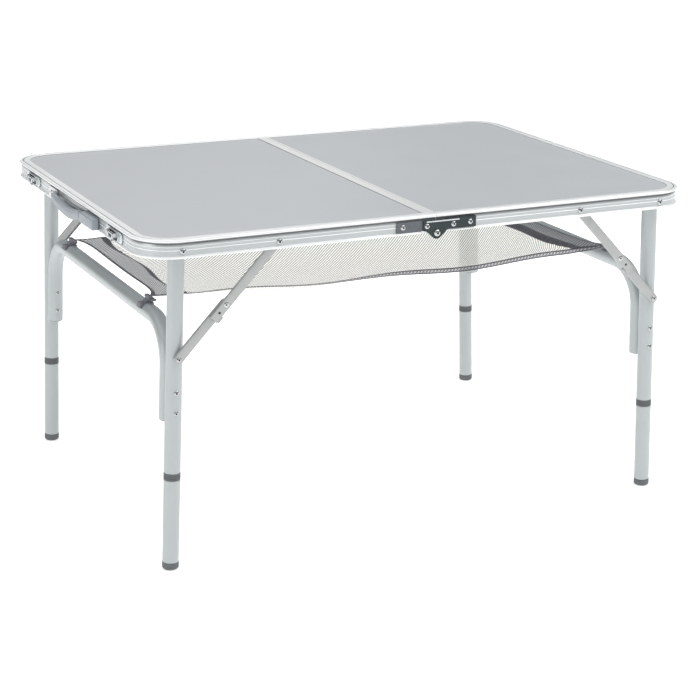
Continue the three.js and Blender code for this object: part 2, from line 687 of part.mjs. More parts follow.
function handlePlate() {
  const near = HANDLE_HALF_SPAN + 1;
  const far = HANDLE_HALF_SPAN + 58;
  const waistX = END_X + WAIST_RECESS;
  const plate = box(waistX - 2.8, waistX - SEAT, near, far, PLATE_LOW, PLATE_HIGH);
  const knuckle = box(HANDLE_X - 5, waistX - 1, near, near + 16, HANDLE_PIVOT_Z - 7, HANDLE_PIVOT_Z + 6);
  const head = domeOnY(5, 0, 2, 0, 0).rotateZ(Math.PI / 2);
  head.translate(waistX - 2.8, near + 36, (PLATE_LOW + PLATE_HIGH) / 2);
  const bore = pinY(3.5 + PIN_GAP, near - 5, near + 13, HANDLE_X, HANDLE_PIVOT_Z);
  return cut(join(plate, knuckle, head), bore);
}

function handleCover() {
  const near = -HANDLE_HALF_SPAN - 1;
  const far = near - 84;
  const outline = roundedRectangle(far, near, FRAME_BOTTOM + 3, FRAME_BOTTOM + 25, 3);
  const settings = {
    depth: HANDLE_COVER_OUT - 4.4, bevelEnabled: true, bevelThickness: 2, bevelSize: 2,
    bevelOffset: -2, bevelSegments: 1, curveSegments: 1,
  };
  const cover = new THREE.ExtrudeGeometry(outline, settings);
  cover.rotateX(Math.PI / 2).rotateZ(Math.PI / 2);
  cover.translate(END_X - HANDLE_COVER_OUT + 2, 0, 0);
  const pad = box(END_X - 2, END_X + WAIST_RECESS - SEAT, far + 4, near - 4,
    PLATE_LOW, PLATE_HIGH);
  const bore = pinY(3.5 + PIN_GAP, near - 14, near + 5, HANDLE_X, HANDLE_PIVOT_Z);
  return cut(join(cover, pad), bore);
}

add('handle_grip', handleGrip(), greyPlastic);
add('handle_plate', handlePlate(), pressedSteel);
add('handle_cover', handleCover(), greyPlastic);

// Latches on the left end: a pressed plate with two ears and a pin, and a hook lever on it.
const LATCH_PIN_X = END_X - 2.6;
const LATCH_PIN_Z = FRAME_BOTTOM + 19;

function latchPlate() {
  const waistX = END_X + WAIST_RECESS;
  const outline = roundedRectangle(-46, 46, PLATE_LOW, PLATE_HIGH, 8);
  const plate = plateXZ(outline, 0, 1.8, 2).rotateZ(Math.PI / 2).translate(waistX - SEAT, 0, 0);
  const ears = [-24, 21].map((y) => {
    return box(LATCH_PIN_X - 4, waistX - 1, y, y + 3, LATCH_PIN_Z - 4, LATCH_PIN_Z + 4);
  });
  const pin = pinY(1.8, -23, 23, LATCH_PIN_X, LATCH_PIN_Z);
  return join(plate, ...ears, pin);
}

function latchLever() {
  const knuckle = pinY(3.4, -20, 20, LATCH_PIN_X, LATCH_PIN_Z);
  const arm = box(LATCH_PIN_X - 3.2, LATCH_PIN_X - 1.2, -20, 20, FRAME_BOTTOM + 4, LATCH_PIN_Z);
  const lip = box(LATCH_PIN_X - 7, LATCH_PIN_X - 1.2, -20, 20, FRAME_BOTTOM + 2, FRAME_BOTTOM + 4);
  const bore = pinY(1.8 + PIN_GAP, -25, 25, LATCH_PIN_X, LATCH_PIN_Z);
  return cut(join(knuckle, arm, lip), bore);
}

for (const [face, sign] of FACES) {
  add(`latch_plate_${face}`, latchPlate().translate(0, sign * LATCH_Y, 0), pressedSteel);
  add(`latch_lever_${face}`, latchLever().translate(0, sign * LATCH_Y, 0), rivetMetal);
}

// Net shelf: a sagging sheet in two halves, hung from the clips. Each fold is stated as its
// distance in from the hem and its depth, at the middle of the table. Both shrink together
// towards the ends, so every facet stays flat.
const NET_FOLDS = [[0, 0], [95, 0.68 * NET_SAG], [185, NET_SAG]];
const NET_END_SHARE = 0.4;

function netHalf(sign) {
  const sections = [];
  for (const along of [0, 1]) {
    const x = 1 + (NET_REACH - 1) * along;
    const share = 1 - (1 - NET_END_SHARE) * along;
    const hemZ = NET_EDGE_Z - NET_HEM_SAG * (1 - along);
    const front = NET_FOLDS.map(([inset, depth]) => {
      return new THREE.Vector3(sign * x, inset * share - CLIP_Y, hemZ - depth * share);
    });
    const rear = front.map(({ y, z }) => new THREE.Vector3(sign * x, -y, z)).reverse();
    const top = [...front, ...rear];
    const bottom = top.map(({ y, z }) => new THREE.Vector3(sign * x, y, z - NET_THICKNESS));
    sections.push([...top, ...bottom.reverse()]);
  }
  return loft(sections);
}

for (const [side, sign] of SIDES) {
  add(`net_${side}`, netHalf(sign), netCloth);
}

export default table;
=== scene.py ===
"""Folding table: the visual model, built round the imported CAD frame. Metres, +Z up."""

import bmesh
import bpy
import math
from mathutils import Matrix, Vector


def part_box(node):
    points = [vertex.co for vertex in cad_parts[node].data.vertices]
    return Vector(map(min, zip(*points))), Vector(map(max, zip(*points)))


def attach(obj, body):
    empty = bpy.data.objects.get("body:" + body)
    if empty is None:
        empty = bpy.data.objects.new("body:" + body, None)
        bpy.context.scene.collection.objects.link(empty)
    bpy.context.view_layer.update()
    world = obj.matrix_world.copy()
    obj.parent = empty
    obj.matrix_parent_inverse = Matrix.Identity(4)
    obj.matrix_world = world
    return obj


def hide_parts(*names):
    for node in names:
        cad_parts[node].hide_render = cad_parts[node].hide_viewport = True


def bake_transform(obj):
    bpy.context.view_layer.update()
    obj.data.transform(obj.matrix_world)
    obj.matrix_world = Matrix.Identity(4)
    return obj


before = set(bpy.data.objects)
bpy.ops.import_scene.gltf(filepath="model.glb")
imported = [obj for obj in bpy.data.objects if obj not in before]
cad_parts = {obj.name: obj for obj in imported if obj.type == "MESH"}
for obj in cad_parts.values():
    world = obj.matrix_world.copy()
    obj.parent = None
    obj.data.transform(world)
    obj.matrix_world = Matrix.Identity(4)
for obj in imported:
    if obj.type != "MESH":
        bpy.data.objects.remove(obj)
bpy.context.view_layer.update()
MM = 0.001
SIDES = (("left", -1), ("right", 1))
FACES = (("front", -1), ("rear", 1))

# ---------------------------------------------------------------- places, from the frame


def middle(node):
    low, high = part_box(node)
    return (Vector(low) + Vector(high)) / 2


frame_low, frame_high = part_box("frame_left")
CENTRE_X = (frame_low[0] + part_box("frame_right")[1][0]) / 2
TOP_Z = frame_high[2]
FRAME_BOTTOM = frame_low[2]
HALF_DEPTH = frame_high[1]
HALF_LENGTH = CENTRE_X - frame_low[0]
LEG_X = middle("leg_pivot_right_front").x - CENTRE_X
LEG_Y = middle("foot_right_rear").y
SPLAY = math.radians(2.1)
TUBE_RADIUS = 16 * MM
PIVOT_Z = middle("leg_pivot_left_front").z
BRACE_TOP_OFF = middle("brace_pivot_right_front").x - CENTRE_X
WAIST_DEPTH = 4 * MM
WAIST = HALF_DEPTH - WAIST_DEPTH
SEAT_GAP = 0.7 * MM


def splayed(sign_x, point):
    """Turns a point of a leg drawn straight down to where the leg really stands."""
    pivot = Vector((CENTRE_X + sign_x * LEG_X, 0, PIVOT_Z))
    return pivot + Matrix.Rotation(-sign_x * SPLAY, 3, "Y") @ (Vector(point) - pivot)


# ---------------------------------------------------------------- node materials


def new_material(name):
    material = bpy.data.materials.new(name)
    material.use_nodes = True
    tree = material.node_tree
    shader = tree.nodes["Principled BSDF"]
    return material, tree, shader


def link(tree, source, target):
    tree.links.new(source, target)


def node(tree, kind, **settings):
    made = tree.nodes.new(kind)
    for key, value in settings.items():
        if key in made.inputs:
            made.inputs[key].default_value = value
        else:
            setattr(made, key, value)
    return made


def coordinates(tree, scale=(1, 1, 1), source="Object"):
    """Texture coordinates stretched by scale."""
    texture = node(tree, "ShaderNodeTexCoord")
    mapping = node(tree, "ShaderNodeMapping")
    mapping.inputs["Scale"].default_value = scale
    link(tree, texture.outputs[source], mapping.inputs["Vector"])
    return mapping.outputs["Vector"]


def ramp(tree, factor, stops):
    """A colour ramp: stops are (position, colour)."""
    made = node(tree, "ShaderNodeValToRGB")
    elements = made.color_ramp.elements
    while len(elements) < len(stops):
        elements.new(0.5)
    for element, (position, colour) in zip(elements, stops):
        element.position = position
        element.color = (*colour, 1)
    link(tree, factor, made.inputs["Fac"])
    return made.outputs["Color"]


def value_range(tree, factor, low, high):
    made = node(tree, "ShaderNodeMapRange")
    made.inputs["To Min"].default_value = low
    made.inputs["To Max"].default_value = high
    link(tree, factor, made.inputs["Value"])
    return made.outputs["Result"]


def bump(tree, shader, height, strength, distance):
    made = node(tree, "ShaderNodeBump", Strength=strength, Distance=distance)
    link(tree, height, made.inputs["Height"])
    link(tree, made.outputs["Normal"], shader.inputs["Normal"])


def shade(colour, factor):
    return tuple(min(1.0, channel * factor) for channel in colour)


def mottled(name, colour, roughness, metallic, scale, vary, rough_vary, grain=0.0, source="Object",
            detail=6.0):
    """A surface with slight colour and gloss variation and an optional fine grain."""
    material, tree, shader = new_material(name)
    vector = coordinates(tree, scale if isinstance(scale, tuple) else (scale,) * 3, source)
    noise = node(tree, "ShaderNodeTexNoise", Scale=1.0, Detail=detail)
    link(tree, vector, noise.inputs["Vector"])
    stops = [(0.3, shade(colour, 1 - vary)), (0.7, shade(colour, 1 + vary))]
    link(tree, ramp(tree, noise.outputs["Fac"], stops), shader.inputs["Base Color"])
    rough = value_range(tree, noise.outputs["Fac"], roughness - rough_vary, roughness + rough_vary)
    link(tree, rough, shader.inputs["Roughness"])
    shader.inputs["Metallic"].default_value = metallic
    if grain:
        fine = node(tree, "ShaderNodeTexNoise", Scale=30.0, Detail=3.0)
        link(tree, vector, fine.inputs["Vector"])
        bump(tree, shader, fine.outputs["Fac"], grain, 0.0004)
    return material


laminate = mottled("laminate_board", (0.50, 0.52, 0.54), 0.40, 0.0, 9, 0.012, 0.04, 0.12)
laminate.node_tree.nodes["Principled BSDF"].inputs["Coat Weight"].default_value = 0.12


def rail_metal(name, colour, roughness, metallic, vary):
    """Metal with fine lines along the rail."""
    return mottled(name, colour, roughness, metallic, (3, 260, 1), vary, 0.10, 0.10, "UV", 3.0)


# One metal round the rail: the bright copy is painted highlight on the lip, ridges and foot, and the
# dark groove copy is painted shade.
rail_highlight = rail_metal("anodised_rail", (0.90, 0.92, 0.925), 0.32, 0.25, 0.04)
brushed_waist = rail_metal("brushed_waist", (0.50, 0.525, 0.535), 0.32, 0.5, 0.07)
shadow_groove = rail_metal("rail_groove_painted_shade", (0.20, 0.21, 0.215), 0.50, 0.4, 0.05)
strip_metal = mottled("seam_strip_metal", (0.84, 0.85, 0.85), 0.34, 0.3, (900, 4, 900), 0.05, 0.08, 0.08)
tube_paint = mottled("tube_paint", (0.47, 0.505, 0.51), 0.36, 0.25, 14, 0.02, 0.05, 0.18)
link_steel = mottled("plated_link_steel", (0.41, 0.42, 0.415), 0.34, 0.5, 60, 0.05, 0.09, 0.12)
plate_steel = mottled("plated_pressing", (0.62, 0.65, 0.66), 0.34, 0.7, 60, 0.06, 0.09, 0.12)
blue_steel = mottled("hinge_leaf_steel", (0.125, 0.14, 0.155), 0.42, 0.45, 45, 0.12, 0.1, 0.2)
dark_steel = mottled("dark_hinge_steel", (0.035, 0.048, 0.05), 0.42, 0.45, 45, 0.12, 0.10, 0.2)
bright_steel = mottled("bright_rivet_steel", (0.50, 0.51, 0.52), 0.16, 1.0, 150, 0.05, 0.05)
hole_shade = mottled("hole_painted_shade", (0.05, 0.055, 0.06), 0.45, 0.8, 200, 0.15, 0.1)
grey_plastic = mottled("handle_plastic", (0.30, 0.335, 0.37), 0.42, 0.0, 30, 0.05, 0.06, 0.25)
dark_plastic = mottled("dark_moulding", (0.20, 0.20, 0.225), 0.50, 0.0, 35, 0.08, 0.06, 0.3)
ring_plastic = mottled("grey_ring_plastic", (0.12, 0.128, 0.135), 0.48, 0.0, 35, 0.06, 0.06, 0.3)


WAVE_SCALE = 0.314
CROSSING_STRENGTH = 0.86
THREAD_EDGE = 0.15


def woven(name, pitch, main_colour, cross_colour, open_share, hole_alpha, painted_glow):
    """A net of two families of slanting threads with holes; the threads are given a painted glow for the
    light that shines through them.
    """
    material, tree, shader = new_material(name)
    shader.inputs["Roughness"].default_value = 0.85
    texture = node(tree, "ShaderNodeTexCoord")
    threads = []
    for angle in (45, -45):
        mapping = node(tree, "ShaderNodeMapping")
        mapping.inputs["Rotation"].default_value = (0, 0, math.radians(angle))
        mapping.inputs["Scale"].default_value = (1 / pitch,) * 3
        link(tree, texture.outputs["UV"], mapping.inputs["Vector"])
        wave = node(tree, "ShaderNodeTexWave", Scale=WAVE_SCALE, Distortion=0.0)
        link(tree, mapping.outputs["Vector"], wave.inputs["Vector"])
        threads.append(wave.outputs["Fac"])
    main, crossing = threads
    weaker = node(tree, "ShaderNodeMath", operation="MULTIPLY")
    weaker.inputs[1].default_value = CROSSING_STRENGTH
    link(tree, crossing, weaker.inputs[0])
    cover = node(tree, "ShaderNodeMath", operation="MAXIMUM")
    link(tree, main, cover.inputs[0])
    link(tree, weaker.outputs["Value"], cover.inputs[1])
    alpha = node(tree, "ShaderNodeMapRange")
    alpha.inputs["From Min"].default_value = open_share
    alpha.inputs["From Max"].default_value = open_share + THREAD_EDGE
    alpha.inputs["To Min"].default_value = hole_alpha
    link(tree, cover.outputs["Value"], alpha.inputs["Value"])
    link(tree, alpha.outputs["Result"], shader.inputs["Alpha"])
    # the main thread family takes main_colour; for the white net that is painted shade
    colour = ramp(tree, main, [(0.45, cross_colour), (0.80, main_colour)])
    link(tree, colour, shader.inputs["Base Color"])
    # the threads' colour glows: painted light
    link(tree, colour, shader.inputs["Emission Color"])
    shader.inputs["Emission Strength"].default_value = painted_glow
    bump(tree, shader, cover.outputs["Value"], 0.5, 0.0006)
    return material


# The white net's main thread family is painted dark grey: painted shade on white thread.
net_white = woven("net_white_mesh", 0.0052, (0.20, 0.20, 0.195), (0.95, 0.93, 0.87), 0.45, 0.40, 0.55)
net_grey = woven("net_grey_mesh", 0.0056, (0.10, 0.10, 0.115), (0.50, 0.50, 0.50), 0.40, 0.40, 0.12)


def tape_cloth():
    """Woven edging tape: fine ribs across its width."""
    material, tree, shader = new_material("net_edging_tape")
    vector = coordinates(tree, (900, 900, 1), "UV")
    wave = node(tree, "ShaderNodeTexWave", Scale=1.0, Distortion=0.4)
    link(tree, vector, wave.inputs["Vector"])
    stops = [(0.2, (0.08, 0.078, 0.095)), (0.8, (0.14, 0.138, 0.16))]
    link(tree, ramp(tree, wave.outputs["Fac"], stops), shader.inputs["Base Color"])
    shader.inputs["Roughness"].default_value = 0.8
    shader.inputs["Sheen Weight"].default_value = 0.3
    bump(tree, shader, wave.outputs["Fac"], 0.4, 0.0005)
    return material


tape = tape_cloth()

# ---------------------------------------------------------------- mesh helpers


def make(name, points, faces, material, body=None, replaced=(), uvs=None, sharp=35, bevel=0.0,
         materials=None, face_slots=None, splay=0):
    """A closed or open mesh piece. uvs holds one (u, v) for each point."""
    if splay:
        points = [splayed(splay, point) for point in points]
    mesh = bpy.data.meshes.new(name)
    mesh.from_pydata([tuple(p) for p in points], [], faces)
    mesh.validate()
    piece = bpy.data.objects.new(name, mesh)
    bpy.context.collection.objects.link(piece)
    for each in materials or [material]:
        mesh.materials.append(each)
    if uvs is not None:
        layer = mesh.uv_layers.new(name="UVMap")
        for loop in mesh.loops:
            layer.data[loop.index].uv = uvs[loop.vertex_index]
    if face_slots is not None:
        for polygon, slot in zip(mesh.polygons, face_slots):
            polygon.material_index = slot
    built = bmesh.new()
    built.from_mesh(mesh)
    bmesh.ops.recalc_face_normals(built, faces=built.faces)
    built.to_mesh(mesh)
    built.free()
    mesh.shade_smooth()
    mesh.set_sharp_from_angle(angle=math.radians(sharp))
    if bevel:
        soften(piece, bevel)
    if body:
        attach(piece, body)
    if replaced:
        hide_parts(*([replaced] if isinstance(replaced, str) else replaced))
    return piece


def soften(piece, width, segments=3, angle=30):
    made = piece.modifiers.new("soft_edges", "BEVEL")
    made.width = width
    made.segments = segments
    made.limit_method = "ANGLE"
    made.angle_limit = math.radians(angle)
    made.harden_normals = False


def skin(rings, closed_ends=True, loop=False):
    """Faces through matching rings of points: (points, faces)."""
    count = len(rings[0])
    points = [point for ring in rings for point in ring]
    faces = []
    for r in range(len(rings) - (0 if loop else 1)):
        here, there = r * count, ((r + 1) % len(rings)) * count
        for i in range(count):
            j = (i + 1) % count
            faces.append((here + i, here + j, there + j, there + i))
    if closed_ends and not loop:
        faces.append(tuple(range(count)))
        faces.append(tuple((len(rings) - 1) * count + i for i in range(count)))
    return points, faces


def lathe(profile, centre, axis="z", sign=1, sides=40):
    """A turned skin: profile is (radius, height) from the axis to the axis."""
    centre = Vector(centre)
    along = {"x": Vector((1, 0, 0)), "y": Vector((0, 1, 0)), "z": Vector((0, 0, 1))}[axis] * sign
    across = Vector((0, 0, 1)) if axis != "z" else Vector((1, 0, 0))
    other = along.cross(across)
    rings = []
    for radius, height in profile:
        ring = []
        for side in range(sides):
            turn = 2 * math.pi * side / sides
            ring.append(centre + along * height
                        + (across * math.cos(turn) + other * math.sin(turn)) * max(radius, 1e-5))
        rings.append(ring)
    return skin(rings)


def turned(name, profile, centre, material, body, axis="z", sign=1, sides=40, **options):
    points, faces = lathe(profile, centre, axis, sign, sides)
    return make(name, points, faces, material, body, **options)


def in_mm(profile, factor=MM):
    """A profile written in millimetres."""
    return [(radius * factor, height * factor) for radius, height in profile]


def rod(name, radius, length, centre, material, body, axis, sign, sides):
    """A plain pin from centre along an axis."""
    profile = [(0, 0), (radius, 0), (radius, length), (0, length)]
    return turned(name, profile, centre, material, body, axis, sign, sides)


def merge(*parts):
    """Several (points, faces) as one."""
    points, faces = [], []
    for more_points, more_faces in parts:
        start = len(points)
        points += list(more_points)
        faces += [tuple(i + start for i in face) for face in more_faces]
    return points, faces


def slab(outline, level_a, level_b, place):
    """An outline of 2-D points between two levels; place(u, v, level) gives the 3-D point."""
    rings = [[place(u, v, level) for u, v in outline] for level in (level_a, level_b)]
    return skin(rings)


def on_face(sign, x0=0.0, z0=0.0):
    """Places (u, v, level) on a long side: u along X, v up, level outward from the middle."""
    return lambda u, v, level: Vector((x0 + u, sign * level, z0 + v))


def arc(cx, cy, radius, start, end, steps):
    """Points on an arc, in degrees."""
    points = []
    for step in range(steps + 1):
        angle = math.radians(start + (end - start) * step / steps)
        points.append((cx + radius * math.cos(angle), cy + radius * math.sin(angle)))
    return points


def rounded_box_outline(u0, u1, v0, v1, radius, steps=5):
    corners = ((u1 - radius, v0 + radius, -90), (u1 - radius, v1 - radius, 0),
               (u0 + radius, v1 - radius, 90), (u0 + radius, v0 + radius, 180))
    outline = []
    for cx, cy, start in corners:
        outline += arc(cx, cy, radius, start, start + 90, steps)
    return outline


def blind_rivet(name, centre, sign, body, radius=6.0, axis="y", replaced=(), splay=0, flat=1.0):
    """A domed rivet head and its pulled core, painted dark as the shade in the rivet's hole. centre is
    on the seat; flat lowers the dome.
    """
    scale = radius / 6.0 * MM
    head = [(0, -0.6), (5.4, -0.6), (6.0, 0), (6.0, 0.5), (5.75, 1.2), (5.2, 1.9), (4.4, 2.5),
            (3.5, 2.95), (2.6, 3.2), (2.2, 3.15), (2.0, 2.7), (1.9, 1.4), (0, 1.3)]
    core = [(0, 0.4), (1.8, 0.4), (1.8, 2.0), (1.3, 2.4), (0, 2.5)]
    profile = [(r * scale, h * scale * flat) for r, h in head]
    turned(name, profile, centre, bright_steel, body, axis, sign, 28, replaced=replaced, splay=splay)
    # the core is painted dark: painted shade of the rivet's hole
    profile = [(r * scale, h * scale * flat) for r, h in core]
    turned(f"{name}_core", profile, centre, hole_shade, body, axis, sign, 16, splay=splay)


# ---------------------------------------------------------------- camera and light


CAMERA_PLACE = (CENTRE_X - 1.650, -3.481, TOP_Z + 0.811)
CAMERA_YAW, CAMERA_PITCH, CAMERA_ROLL = 25.646, 17.391, 0.645
CAMERA_LENS, CAMERA_SENSOR, CAMERA_REACH = 94.8, 36, 50
FLOOR_REACH, FLOOR_DROP, FLOOR_GLOW = 60, 0.0005, 0.5
SKY = ((0.0, 0.55), (0.03, 0.10), (0.42, 0.11), (0.66, 0.80), (1.0, 1.30))
SKY_STRENGTH = 1.15
LIGHTS = (
    ("key", (1.9, -1.3, 2.9), (0.2, 0, 0.6), (1.8, 1.4), 34),
    ("fill", (-3.4, -0.9, 1.0), (-0.4, 0, 0.45), (1.6, 1.0), 13),
    ("back", (0.4, 3.2, 2.4), (0, 0, 0.5), (2.6, 1.6), 12),
)


def add_camera():
    """Stands in front of the left end and looks down at the table."""
    data = bpy.data.cameras.new("camera")
    data.sensor_width = CAMERA_SENSOR
    data.lens = CAMERA_LENS
    data.clip_end = CAMERA_REACH
    camera = bpy.data.objects.new("camera", data)
    bpy.context.collection.objects.link(camera)
    yaw, pitch, roll = (math.radians(a) for a in (CAMERA_YAW, CAMERA_PITCH, CAMERA_ROLL))
    camera.location = CAMERA_PLACE
    level = math.cos(pitch)
    ahead = Vector((math.sin(yaw) * level, math.cos(yaw) * level, -math.sin(pitch)))
    turn = ahead.to_track_quat("-Z", "Y").to_matrix()
    camera.rotation_euler = (turn @ Matrix.Rotation(roll, 3, "Z")).to_euler()
    bpy.context.scene.camera = camera


def add_area_light(name, place, target, size, power):
    data = bpy.data.lights.new(name, "AREA")
    data.shape = "RECTANGLE"
    data.size, data.size_y = size
    data.energy = power
    light = bpy.data.objects.new(name, data)
    light.location = place
    light.rotation_euler = (Vector(target) - Vector(place)).to_track_quat("-Z", "Y").to_euler()
    bpy.context.collection.objects.link(light)


def add_studio():
    """A bright ceiling over a dim horizon, three soft lights and a pale floor."""
    world = bpy.data.worlds.new("studio")
    bpy.context.scene.world = world
    world.use_nodes = True
    tree = world.node_tree
    texture = node(tree, "ShaderNodeTexCoord")
    split = node(tree, "ShaderNodeSeparateXYZ")
    link(tree, texture.outputs["Generated"], split.inputs["Vector"])
    sky = ramp(tree, split.outputs["Z"], [(height, (level,) * 3) for height, level in SKY])
    background = tree.nodes["Background"]
    link(tree, sky, background.inputs["Color"])
    background.inputs["Strength"].default_value = SKY_STRENGTH
    for settings in LIGHTS:
        add_area_light(*settings)
    reach = FLOOR_REACH
    floor_points = [(-reach, -reach, 0), (reach, -reach, 0), (reach, reach, 0), (-reach, reach, 0)]
    material = mottled("pale_floor", (0.92, 0.92, 0.92), 0.9, 0.0, 2, 0.004, 0.02)
    shader = material.node_tree.nodes["Principled BSDF"]
    shader.inputs["Emission Color"].default_value = (1, 1, 1, 1)
    shader.inputs["Emission Strength"].default_value = FLOOR_GLOW
    shader.inputs["Specular IOR Level"].default_value = 0.1
    floor = make("floor", floor_points, [(0, 1, 2, 3)], material)
    floor.location.z = -FLOOR_DROP
    bpy.context.scene.view_settings.view_transform = "Standard"


add_camera()
add_studio()

# ---------------------------------------------------------------- leaf frames and panels

CORNER_RADIUS = 80 * MM
CORNER_STEPS = 20
HINGE_NOTCH = 32 * MM
FOOT_BEAD_TOP = -30.0
OUTLINE_PITCH = 0.0025


def rail_outline():
    """The rail's section in millimetres: distance in from the outer edge, and height."""
    lip = [(22, -1.2), (22, -0.5), (21.7, -0.1), (21.2, 0.0), (9.4, 0.0), (9.0, -0.7), (7.0, -0.7),
           (6.6, 0.0), (3.4, 0.0)]
    bead = [(3.1 + 3.1 * math.cos(math.radians(a)), -3.1 + 3.1 * math.sin(math.radians(a)))
            for a in range(100, 215, 14)]
    groove = [(0.9, -5.8), (1.5, -6.6), (2.8, -7.0), (4.7, -7.1), (4.8, -8.2), (4.3, -8.5),
              (4.0, -9.0), (4.0, -13.6)]
    fine_ridge = [(3.8, -13.8), (3.8, -14.4), (4.0, -14.6), (4.0, -19.0)]
    ridge = [(3.6, -19.3), (3.4, -19.8), (3.4, -20.6), (3.6, -21.1), (4.0, -21.4)]
    foot = [(4.0, -25.2), (3.8, -25.4), (3.8, -26.0), (4.0, -26.2), (4.0, -30.4), (3.2, -30.9),
            (1.9, -31.3), (0.9, -32.1), (0.4, -33.1), (0.3, -34.0), (0.6, -35.0), (1.5, -35.8),
            (2.8, -36.0), (6.2, -36.0), (6.2, -1.2)]
    return lip + bead + groove + fine_ridge + ridge + foot


def rail_slot(height):
    """Lip, ridges and foot painted bright as painted highlight; the groove under the lip and the fine
    line in the lip top painted dark as painted shade; a brushed waist between.
    """
    # painted shade in the grooves; painted highlight on the lip, ridges and foot
    if -8.6 < height < -5.2 or -0.75 < height < -0.65:
        return 2
    bright = height > -5.2 or -14.6 < height < -13.6 or -21.2 < height < -19.2 or height < -30.4
    return 0 if bright else 1


def rail_stations(sign):
    """Plan points and outward angles round three sides of a leaf."""
    stations = []
    edge_x, edge_y = HALF_LENGTH - CORNER_RADIUS, HALF_DEPTH - CORNER_RADIUS
    run_in = (0.5 * MM, HINGE_NOTCH - MM, HINGE_NOTCH, 0.2, 0.4)
    stations += [(x, -HALF_DEPTH, -90) for x in run_in]
    for side, start in ((-1, -90), (1, 0)):
        for step in range(CORNER_STEPS + 1):
            angle = start + 90 * step / CORNER_STEPS
            turn = math.radians(angle)
            stations.append((edge_x + CORNER_RADIUS * math.cos(turn),
                             side * edge_y + CORNER_RADIUS * math.sin(turn), angle))
    stations += [(x, HALF_DEPTH, 90) for x in reversed(run_in)]
    return [(sign * x, y, 180 - angle if sign < 0 else angle) for x, y, angle in stations]


def rail(side, sign):
    outline = rail_outline()
    rings, uvs, length, last = [], [], 0.0, None
    stations = rail_stations(sign)
    for x, y, angle in stations:
        here = Vector((x, y))
        length += (here - last).length if last else 0
        last = here
        turn = math.radians(angle)
        notched = abs(x) < HINGE_NOTCH - 0.5 * MM
        ring = []
        for index, (inward, height) in enumerate(outline):
            cut_back = notched and height < FOOT_BEAD_TOP
            depth = max(inward, WAIST_DEPTH / MM) if cut_back else inward
            ring.append(Vector((CENTRE_X + x - depth * MM * math.cos(turn),
                                y - depth * MM * math.sin(turn), TOP_Z + height * MM)))
            uvs.append((length, index * OUTLINE_PITCH))
        rings.append(ring)
    points, faces = skin(rings)
    around = [rail_slot((outline[i][1] + outline[(i + 1) % len(outline)][1]) / 2)
              for i in range(len(outline))]
    slots = around * (len(stations) - 1) + [0, 0]
    make(f"{side}_edge_rail", points, faces, None, f"{side}_leaf", f"frame_{side}", uvs, 40,
         materials=[rail_highlight, brushed_waist, shadow_groove], face_slots=slots)


STRIP_CAP, STRIP_WEB = 1.2 * MM, 1.5 * MM


def seam_strip(side, sign):
    """An angle strip: a flat cap on the board and a web down its edge."""
    low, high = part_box(f"seam_strip_{side}")
    cap_bottom = high[2] - STRIP_CAP
    cap = (low[0], high[0], low[1], high[1], cap_bottom, high[2])
    inner = low[0] if sign > 0 else high[0] - STRIP_WEB
    web = (inner, inner + STRIP_WEB, low[1], high[1], low[2], cap_bottom)
    parts = []
    for x0, x1, y0, y1, z0, z1 in (cap, web):
        outline = [(x0, y0), (x1, y0), (x1, y1), (x0, y1)]
        parts.append(slab(outline, z0, z1, lambda u, v, level: Vector((u, v, level))))
    points, faces = merge(*parts)
    name = f"{side}_seam_strip"
    make(name, points, faces, strip_metal, f"{side}_leaf", f"seam_strip_{side}", bevel=0.4 * MM)


def leaf_board(side):
    """The laminate board keeps its CAD shape."""
    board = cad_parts[f"panel_{side}"]
    board.data.materials.clear()
    board.data.materials.append(laminate)


for side, sign in SIDES:
    rail(side, sign)
    seam_strip(side, sign)
    leaf_board(side)

# ---------------------------------------------------------------- legs

TUBE_WALL = 1.5 * MM
COLLAR_LOW, COLLAR_HIGH, SPIGOT, FOOT_HIGH = 183 * MM, 197 * MM, 26 * MM, 14 * MM
CROSS_RUN_Z, CROSS_END_Z, CROSS_REACH = 478 * MM, 294 * MM, 362.7 * MM
CROSS_BEND, BEND_STEPS = 80 * MM, 16
SPIGOT_RADIUS = 14.2 * MM
FIT_GAP = 0.3 * MM
RIM = 0.5 * MM
PLUG_DEPTH = 12 * MM
COLLAR_GROOVES, GROOVE_DEPTH = (4.2 * MM, 8.6 * MM), 0.9 * MM
TUBE_SIDES = 40


def open_tube(rings_outer, rings_inner):
    """A hollow tube through matching outer and inner rings, open at both ends."""
    outer_points, outer_faces = skin(rings_outer, closed_ends=False)
    inner_points, inner_faces = skin(rings_inner, closed_ends=False)
    points, faces = merge((outer_points, outer_faces), (inner_points, inner_faces))
    count = len(rings_outer[0])
    offset = len(outer_points)
    for base in (0, (len(rings_outer) - 1) * count):
        for i in range(count):
            j = (i + 1) % count
            faces.append((base + i, base + j, offset + base + j, offset + base + i))
    return points, faces


def circle(centre, radius):
    return [Vector((centre[0] + radius * math.cos(2 * math.pi * i / TUBE_SIDES),
                    centre[1] + radius * math.sin(2 * math.pi * i / TUBE_SIDES), centre[2]))
            for i in range(TUBE_SIDES)]


def straight_tube(name, x, y, z0, z1, body, node_name):
    """A leg tube with rounded rims."""
    levels = ((z0, RIM), (z0 + RIM, 0), (z1 - RIM, 0), (z1, RIM))
    outer = [circle((x, y, z), TUBE_RADIUS - inset) for z, inset in levels]
    inner = [circle((x, y, level[0]), TUBE_RADIUS - TUBE_WALL) for level in levels]
    make(name, *open_tube(outer, inner), tube_paint, body, node_name,
         splay=math.copysign(1, x - CENTRE_X))


